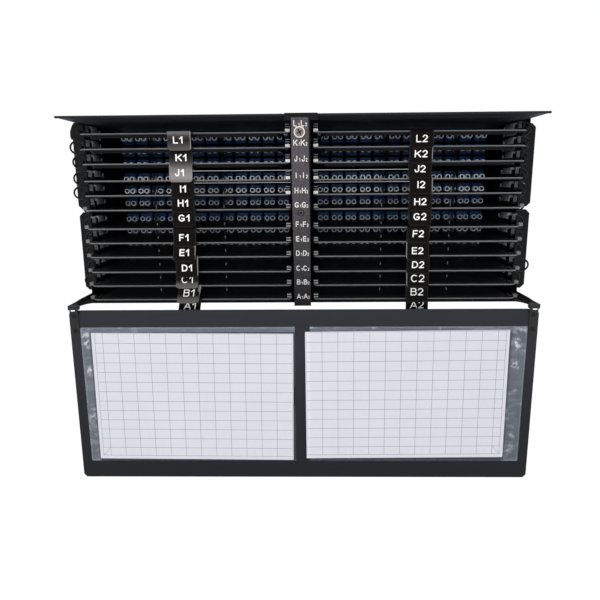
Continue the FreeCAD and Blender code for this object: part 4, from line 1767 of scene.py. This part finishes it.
@dataclass
class Film:
    """A flag's surface: its side line swept across X, slanted, bowed and twisted more towards its foot."""

    line: Array
    centre: float
    floor: float
    half: float
    warp: Span
    slant: float
    level: float

    def __post_init__(self) -> None:
        """Measures the side line."""
        steps = np.linalg.norm(np.diff(self.line, axis=0), axis=1)
        self.length: Array = np.concatenate([[0], np.cumsum(steps)])

    def at(self, across: Array, along: Array, lift: float) -> Array:
        """Points of the film.

        y = side line - share * (bow * (1 - u * u) + twist * u) - lift, where share grows to one at the foot;
        x is moved by the slant times the height over the letters' level.

        Args:
            across: place across the flag, from -1 to 1.
            along: distance along the side line.
            lift: distance in front of the film.

        Returns:
            Points with a last axis of three.
        """
        twist, bow = self.warp
        share = along / self.length[-1]
        y = np.interp(along, self.length, self.line[:, 0])
        z = np.interp(along, self.length, self.line[:, 1])
        y = y - share * (bow * (1 - across**2) + twist * across) - lift
        x = self.centre + across * self.half + self.slant * (z - self.level)
        return np.stack([x, y, z + self.floor], axis=-1)


def flat_piece(skin: Skin, name: str, finish: Material) -> Piece:
    """Builds thin print whose faces all look to -Y.

    Args:
        skin: the strokes.
        name: the piece's name.
        finish: the ink.

    Returns:
        The piece.
    """
    piece = skin.build(name, [finish])
    work = bmesh.new()
    work.from_mesh(piece.data)
    bmesh.ops.reverse_faces(work, faces=[face for face in work.faces if face.normal.y > 0])
    work.to_mesh(piece.data)
    work.free()
    return piece


@dataclass
class IndexBar:
    """The leaning bar: its grey face strip, the printed row marks, the ring magnet and the lower screw."""

    looks: Finishes
    floors: list[float]
    half: float = 8.1
    reach: float = 8.85
    top: float = 84.6
    foot: float = -91.5
    hem: Span = (-87.8, 86.0)
    slope: float = 26.8 / 174.7
    sheet: float = 1.5
    foot_x: float = 0.35
    drift: float = 1.9 / 174.0
    drift_start: float = -89.0
    magnet_z: float = 72.6
    screw_z: float = 0.4
    weight: float = 0.155
    drops: dict[str, float] = table({"K": 2.4, "J": 2.2, "I": 1.1, "H": 0.8, "A": 0.9})

    def front(self, z: Array | float) -> Array | float:
        """Y of the bar's front face at a height: the lean from the canopy's hem, less the sheet."""
        return self.hem[0] + (self.hem[1] - z) * self.slope - self.sheet * np.hypot(1, self.slope)

    def middle(self, z: Array | float) -> Array | float:
        """X of the strip's centre line, which stands a little askew."""
        return self.foot_x - self.drift * (z - self.drift_start)

    def strip(self) -> Piece:
        """The face strip, a thin plate with rolled long edges that follows the bar's lean.

        Returns:
            The strip.
        """
        z = np.linspace(self.foot, self.top, 30)[:, None]
        edge = np.array([(-1.0, 0.0), (-0.97, -0.28), (-0.9, -0.35)])
        profile = np.vstack([edge, (0.0, -0.38), edge[::-1] * (-1, 1)])
        x = np.clip(profile[:, 0] * self.half + self.middle(z), -self.reach, self.reach)
        surface = np.stack(np.broadcast_arrays(x, self.front(z) + profile[:, 1], z), axis=-1)
        skin = Skin()
        skin.shell(surface, np.array([0.0, 0.25, 0.0]))
        return skin.build("bar_face_strip", [self.looks.bar_paint])

    def marks(self) -> Piece:
        """Row marks: a tall letter and a small number for each side, on every row.

        Returns:
            The print.
        """
        skin = Skin()
        for letter, floor in zip(ROWS, self.floors):
            height = floor + 5.0 - self.drops.get(letter, 0.0)
            for column, (big, small) in enumerate(((-3.8, -0.4), (2.9, 6.0)), start=1):
                for text, cap, x, rise in ((letter, 5.2, big, 0.0), (str(column), 3.0, small, -1.1)):
                    for ribbon in Alphabet(self.weight).ribbons(text, cap):
                        z = ribbon[..., 1] + height + rise
                        place = ribbon[..., 0] * 0.85 + x + self.middle(height)
                        skin.grid(np.stack([place, self.front(z) - 0.45, z], axis=-1))
        return flat_piece(skin, "bar_marks", self.looks.bar_ink)

    def recess(self, skin: Skin, angle: float, bar: Triple, levels: Span, coat: int) -> None:
        """Puts two crossed bars of dark shade on a screw's head.

        Args:
            skin: the screw.
            angle: turn of the cross in radians.
            bar: half a bar's length, half its width and the radius of its corners.
            levels: from where to where the bars stand up.
            coat: index of the finish.
        """
        long, wide, radius = bar
        for turn in (angle, angle + np.pi / 2):
            outline = turned(rectangle(around(0.0, long), around(0.0, wide), radius), turn)
            skin.slab(outline, Axis.Z, levels, 0.03, coat)

    def seated(self, skin: Skin, z: float, ahead: float) -> Skin:
        """Sets a shape that faces +Z square on the bar, at a height and a distance in front of its face."""
        seat = (self.middle(z), self.front(z) - ahead, z)
        return skin.placed((0.0, -1.0, -self.slope), [seat])

    def magnet(self) -> Piece:
        """The ring magnet: a turned rim, and in it the flat head of its screw with a cross.

        Returns:
            The magnet.
        """
        rim = [(5.1, 0.0), (5.1, 3.3), (4.9, 3.6), (4.0, 3.6), (3.85, 3.4), (3.85, 3.0)]
        head = [(3.8, 3.0), (3.7, 3.5), (3.3, 3.62), (0.05, 3.62)]
        skin = Skin()
        skin.lathe(rim, (0, 0, 0), Axis.Z, 32, ends=(True, False))
        skin.lathe(head, (0, 0, 0), Axis.Z, 32, coat=1, ends=(False, True))
        self.recess(skin, 0.5, (2.6, 0.55, 0.2), (3.4, 3.7), 2)
        coats = [self.looks.nickel, self.looks.steel, self.looks.guide_paint]
        magnet = self.seated(skin, self.magnet_z, 0.0).build("ring_magnet", coats)
        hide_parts("catch_magnet")
        return magnet

    def screws(self) -> Piece:
        """The countersunk screw half-way down the bar: a grey turned head with a cross in a dark ring.

        Returns:
            The screw.
        """
        skin = Skin()
        ring = [(3.1, -0.2), (3.1, 0.1), (2.5, 0.16)]
        skin.lathe(ring, (0, 0, 0), Axis.Z, 24, coat=1, ends=(False, False))
        skin.lathe([(2.5, 0.16), (2.4, 0.3), (0.05, 0.36)], (0, 0, 0), Axis.Z, 24)
        self.recess(skin, 0.3, (1.5, 0.4, 0.15), (0.2, 0.4), 1)
        coats = [self.looks.bar_paint, self.looks.guide_paint]
        return self.seated(skin, self.screw_z, 0.3).build("bar_screws", coats)

    def build(self) -> list[Piece]:
        """Makes the bar's pieces and lets them ride on the body."""
        return riding([self.strip(), self.marks(), self.magnet(), self.screws()], "enclosure")


@dataclass
class Door:
    """The dropped door's clear pockets, printed cards, hinge leaves with their screws, and notch fillers."""

    looks: Finishes
    inside: float = -97.05
    pocket_in: float = 7.0
    pocket_out: float = 210.2
    top: float = -104.3
    bottom: float = -241.0
    weld: float = 0.8
    film: float = 0.18
    card_back: float = 0.75
    card_face: float = 1.3
    leaf: float = 1.2
    leaf_foot: float = -111.5
    leaf_top: float = -83.4
    leaf_window_x: Span = (213.4, 217.6)
    leaf_window_z: Span = (-88.8, -87.2)
    screw_radius: float = 2.3
    screw_x: float = 214.6
    screws_z: Span = (-93.2, -107.4)

    def film_height(self, x: Array, z: Array, side: Side) -> Array:
        """How far a pocket's film stands off the door: a pillow that falls to the welds, plus soft creases.

        The pillow is 0.35 + 1.27 * (1 - exp(-distance from the weld / 0.4)). The creases are long sine
        waves, and stronger ones near the outer and the upper edge.

        Args:
            x: distances from the middle.
            z: heights.
            side: left or right, which shifts the waves.

        Returns:
            The heights over the door, of the shape of x and z.
        """
        weld = np.minimum(np.minimum(self.pocket_out - x, z - self.bottom), self.top - z)
        pillow = 0.35 + 1.27 * (1 - np.exp(-np.clip(weld - 0.5, 0, None) / 0.4))
        ripple = 0.05 * np.sin(z * 0.05 + 0.02 * x + side.sign) + 0.02 * np.sin(x * 0.11 + z * 0.07)
        edge = np.exp(-((self.pocket_out - x) / 9.0) ** 2) + np.exp(-((self.top - z) / 6.0) ** 2)
        ripple = ripple + 0.12 * edge * np.sin(z * 0.21 + x * 0.13 + 1.3 * side.sign)
        return np.clip(pillow + ripple * np.clip(weld / 4.0, 0, 1), np.where(weld > 1.4, 1.46, 0.3), 1.95)

    def pocket(self, side: Side) -> Piece:
        """A clear pocket: a creased film, welded flat along three edges, with a weld bead carried round.

        Args:
            side: left or right; the left film has a finger notch in its open edge.

        Returns:
            The pocket.
        """
        u = np.linspace(self.pocket_in, self.pocket_out, 84)
        foot = self.bottom + np.array([0, 0.5, 0.9, 1.4])
        v = np.concatenate([foot, np.linspace(self.bottom + 2, self.top, 58)])
        x, z = np.meshgrid(u, v)
        across = x
        if side is Side.LEFT:
            middle = (self.top + self.bottom) / 2
            notch = 2.6 * np.clip(3.0 - np.abs(z - middle) / 3.6, 0, 1)
            across = x + notch * np.clip(1 - (x - self.pocket_in) / 20.0, 0, 1)
        surface = np.stack([across, self.inside - self.film_height(x, z, side), z], axis=-1)
        skin = Skin()
        skin.shell(surface, np.array([0.0, self.film, 0.0]))
        half = self.weld
        high, low, far = self.top - half, self.bottom + half, self.pocket_out - half
        frame = bent_path([(self.pocket_in, high), (far, high), (far, low), (self.pocket_in, low)], 0.9, 4)
        bead = rectangle(around(0.0, half), (-0.02, 0.62), 0.25)
        skin.carry(stand(frame, Axis.Y, self.inside - 0.02), bead, (0, -1, 0))
        name = f"pocket_film_{side.name.lower()}"
        return skin.mirrored(side.sign).build(name, [self.looks.film], crease=50.0)

    def sheets(self) -> tuple[CardSheet, ...]:
        """The two cards, slipped a little in their pockets."""
        low, high = (corner.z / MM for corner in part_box("chart_sheets"))
        left = CardSheet(-1, 9.0, 200.5, low, high, -0.0075, -0.4)
        return (left, CardSheet(1, 3.0, 194.5, low, high, 0.008, 1.4))

    def cards(self, card: PrintedCard) -> Piece:
        """The two cards as thin plates.

        Args:
            card: the card's finish, which knows where the cards lie.

        Returns:
            Both cards as one piece.
        """
        skin = Skin()
        levels = (self.inside - self.card_face, self.inside - self.card_back)
        for sheet in card.sheets:
            across = sorted((sheet.sign * sheet.inner, sheet.sign * sheet.outer))
            outline = rectangle(tuple(across), (sheet.low, sheet.high), 0.6)
            skin.slab(sheet.placed(outline), Axis.Y, levels, 0.08)
        cards = skin.build("printed_cards", [card.material()])
        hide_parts("chart_sheets")
        return cards

    def card_numbers(self, cards: PrintedCard) -> Piece:
        """Faint row letters and column numbers printed in the middle of the cards' label cells.

        Args:
            cards: the card's finish, which knows the grid.

        Returns:
            The print on both cards.
        """
        skin = Skin()
        for sheet in cards.sheets:
            (start, end), (low, high) = cards.limits(sheet)
            tall = (high - low - cards.foot) / cards.rows
            wide = (end - cards.label - start) / cards.columns
            cells = []
            for number in range(cards.rows):
                height = low + cards.foot + tall * (number + 0.5)
                cells.append((ROWS[number], sheet.sign * (end - cards.label / 2), height))
            for number in range(cards.columns):
                order = number if sheet.sign > 0 else cards.columns - 1 - number
                place = sheet.sign * (start + wide * (number + 0.5))
                cells.append((str(order + 1), place, low + cards.foot / 2))
            for text, x, z in cells:
                for ribbon in Alphabet(0.15).ribbons(text, 2.2):
                    flat = sheet.placed(ribbon + np.array([x, z]))
                    skin.grid(stand(flat, Axis.Y, self.inside - self.card_face - 0.03))
        return flat_piece(skin, "card_marks", self.looks.faint_ink)

    def leaves(self) -> Piece:
        """Hinge leaves: a plate of bars round a window under its barrel, and the barrel with its web.

        Returns:
            Both leaves.
        """
        start, end = HINGE.ends
        (left, right), (low, high) = self.leaf_window_x, self.leaf_window_z
        bars = [
            ((start, end), (self.leaf_foot, low + 0.1)), ((start, left), (low, high)),
            ((right, end), (low, high)), ((start, end), (high - 0.1, self.leaf_top)),
        ]
        skin = Skin()
        for across, up in bars:
            skin.slab(rectangle(across, up, 0.2), Axis.Y, (self.inside - self.leaf, self.inside), 0.15)
        skin.slab(rectangle((start, end), (-98.2, -96.3), 0.2), Axis.Z, (-86.4, self.leaf_top - 0.05), 0.15)
        bore, wide, edge = HINGE.bore, HINGE.barrel, HINGE.barrel - 0.15
        barrel = [
            (bore, start), (edge, start), (wide, start + 0.2),
            (wide, end - 0.2), (edge, end), (bore, end), (bore, start),
        ]
        skin.lathe(barrel, HINGE.centre, Axis.X, 20, ends=(False, False))
        leaves = skin.paired().build("hinge_leaf_plates", [self.looks.leaf_paint])
        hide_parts("hinge_leaves")
        return leaves

    def fillers(self) -> Piece:
        """Black fillers that close the door's notches beside the hinge leaves."""
        skin = Skin()
        skin.slab(rectangle((207.9, 211.5), (-91.5, -88.0), 0.3), Axis.Y, (-97.0, -95.9), 0.1)
        return skin.paired().build("notch_fillers", [self.looks.shell_paint])

    def screws(self) -> Piece:
        """Two screws in each hinge leaf."""
        seats = [(sign * self.screw_x, self.inside - self.leaf, z) for sign in (-1, 1) for z in self.screws_z]
        skin = pan_screw(self.screw_radius).placed((0, -1, 0), seats)
        return skin.build("hinge_screws", [self.looks.dark_screw, self.looks.guide_paint])

    def build(self) -> list[Piece]:
        """Dresses the door.

        Returns:
            The new pieces.
        """
        card = PrintedCard("printed_card", self.sheets())
        films = [self.pocket(side) for side in Side]
        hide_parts("document_pockets")
        cards = [self.cards(card), self.card_numbers(card)]
        return riding(films + cards + [self.leaves(), self.screws(), self.fillers()], "door")


def aimed(right: Array, up: Array, back: Array, place: Array) -> Matrix:
    """The matrix of a camera or lamp: its three directions and its place in metres as columns."""
    turn = np.eye(4)
    turn[:3] = np.stack([right, up, back, place], axis=1)
    return Matrix(turn.tolist())


@dataclass(frozen=True)
class Lamp:
    """A soft rectangular lamp that reflections don't show; lengths in metres, power in watts."""

    name: str
    place: Triple
    aim: Triple
    size: Span
    power: float

    def build(self) -> None:
        """Makes the lamp and points it."""
        data = bpy.data.lights.new(self.name, "AREA")
        data.shape = "RECTANGLE"
        data.size, data.size_y = self.size
        data.energy = self.power
        lamp = added(self.name, data)
        back = unit(np.array(self.place) - np.array(self.aim))
        right = sideways(back)
        lamp.matrix_world = aimed(right, np.cross(back, right), back, np.array(self.place))
        lamp.visible_glossy = False


@dataclass
class Studio:
    """Camera, lights, floor and backdrop."""

    position: Triple = (7.7, -602.8, 28.7)
    yaw: float = -0.019
    pitch: float = 0.209
    roll: float = -0.008
    focal: float = 556.2
    frame: float = 600.0
    ground: float = -259.4
    ground_reach: float = 6000.0
    ground_colour: Colour = (0.86, 0.86, 0.86)
    glow: float = 1.12
    glow_seen: float = 0.88
    bounce: float = 0.45
    ambient: float = 0.3
    lamps: tuple[Lamp, ...] = (
        Lamp("front_lamp", (-0.1, -1.9, 0.17), (0.0, 0.0, -0.02), (1.0, 0.3), 24.0),
        Lamp("key_lamp", (-0.7, -1.6, 1.4), (0.0, 0.0, -0.05), (1.2, 0.8), 9.0),
        Lamp("top_lamp", (0.0, 0.2, 2.0), (0.0, 0.0, 0.0), (1.6, 1.6), 9.0),
    )

    def camera(self) -> None:
        """A camera at the photographed angle, looking down by the pitch and turned by yaw and roll."""
        level = np.array([np.cos(self.yaw), -np.sin(self.yaw), 0.0])
        flat = np.array([np.sin(self.yaw), np.cos(self.yaw), 0.0])
        ahead = flat * np.cos(self.pitch) - np.array([0.0, 0.0, np.sin(self.pitch)])
        over = np.cross(level, ahead)
        right = level * np.cos(self.roll) + over * np.sin(self.roll)
        up = over * np.cos(self.roll) - level * np.sin(self.roll)
        data = bpy.data.cameras.new("studio_camera")
        data.sensor_width = 36.0
        data.lens = self.focal / self.frame * data.sensor_width
        data.clip_start = 0.01
        data.clip_end = 100.0
        camera = added("studio_camera", data)
        camera.matrix_world = aimed(right, up, -ahead, np.array(self.position) * MM)
        bpy.context.scene.camera = camera

    def world(self) -> None:
        """White to look at, and a plain soft light on the object."""
        world = bpy.data.worlds.new("studio_world")
        world.use_nodes = True
        bpy.context.scene.world = world
        tree = Tree(world.node_tree)
        soft, white = (
            tree.node("ShaderNodeBackground", {"Color": (1.0, 1.0, 1.0), "Strength": strength})
            for strength in (self.ambient, 1.0)
        )
        tree.finish("ShaderNodeOutputWorld", tree.seen(), soft, white)

    def floor(self) -> None:
        """A pale floor that keeps a soft shadow and looks white."""
        reach = np.array([-self.ground_reach, self.ground_reach])
        x, y = np.meshgrid(reach, reach)
        skin = Skin()
        skin.grid(np.stack([x, y, np.full_like(x, self.ground)], axis=-1))
        material = bpy.data.materials.new("studio_floor")
        material.use_nodes = True
        tree = Tree(material.node_tree)
        diffuse = tree.node("ShaderNodeBsdfDiffuse", {"Color": self.ground_colour})
        glow = tree.node("ShaderNodeEmission", {"Strength": self.glow})
        share = tree.seen() * (self.glow_seen - self.bounce) + self.bounce
        tree.finish("ShaderNodeOutputMaterial", share, diffuse, glow)
        floor = skin.build("studio_floor", [material])

    def build(self) -> None:
        """Sets the whole studio up."""
        bpy.context.scene.view_settings.view_transform = "Standard"
        self.camera()
        self.world()
        self.floor()
        for lamp in self.lamps:
            lamp.build()


def dress(obj: Piece, finish: Material) -> None:
    """Puts one finish on all of a solid's material slots.

    Args:
        obj: the solid.
        finish: its finish.
    """
    if not obj.material_slots:
        obj.data.materials.append(finish)
    for slot in obj.material_slots:
        slot.material = finish


def main() -> None:
    """Builds the studio and every sub-assembly, and reports each piece."""
    logging.basicConfig(level=logging.INFO, format="%(message)s")
    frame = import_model()
    floors = [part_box(f"adapters_{letter}1")[0].z / MM for letter in ROWS]
    finishes = Finishes()
    Studio().build()
    cabinet = Cabinet(finishes)
    cabinet.paint(frame["nodes"])
    pieces = cabinet.build()
    pieces += SideGuides(finishes, floors[1:]).build()
    pieces += TrayStack(finishes).build()
    pieces += LabelFlags(finishes).build()
    pieces += IndexBar(finishes, floors).build()
    pieces += Door(finishes).build()
    for piece in pieces:
        LOG.info("%s: %d faces", piece.name, len(piece.data.polygons))


if __name__ == "__main__":
    main()
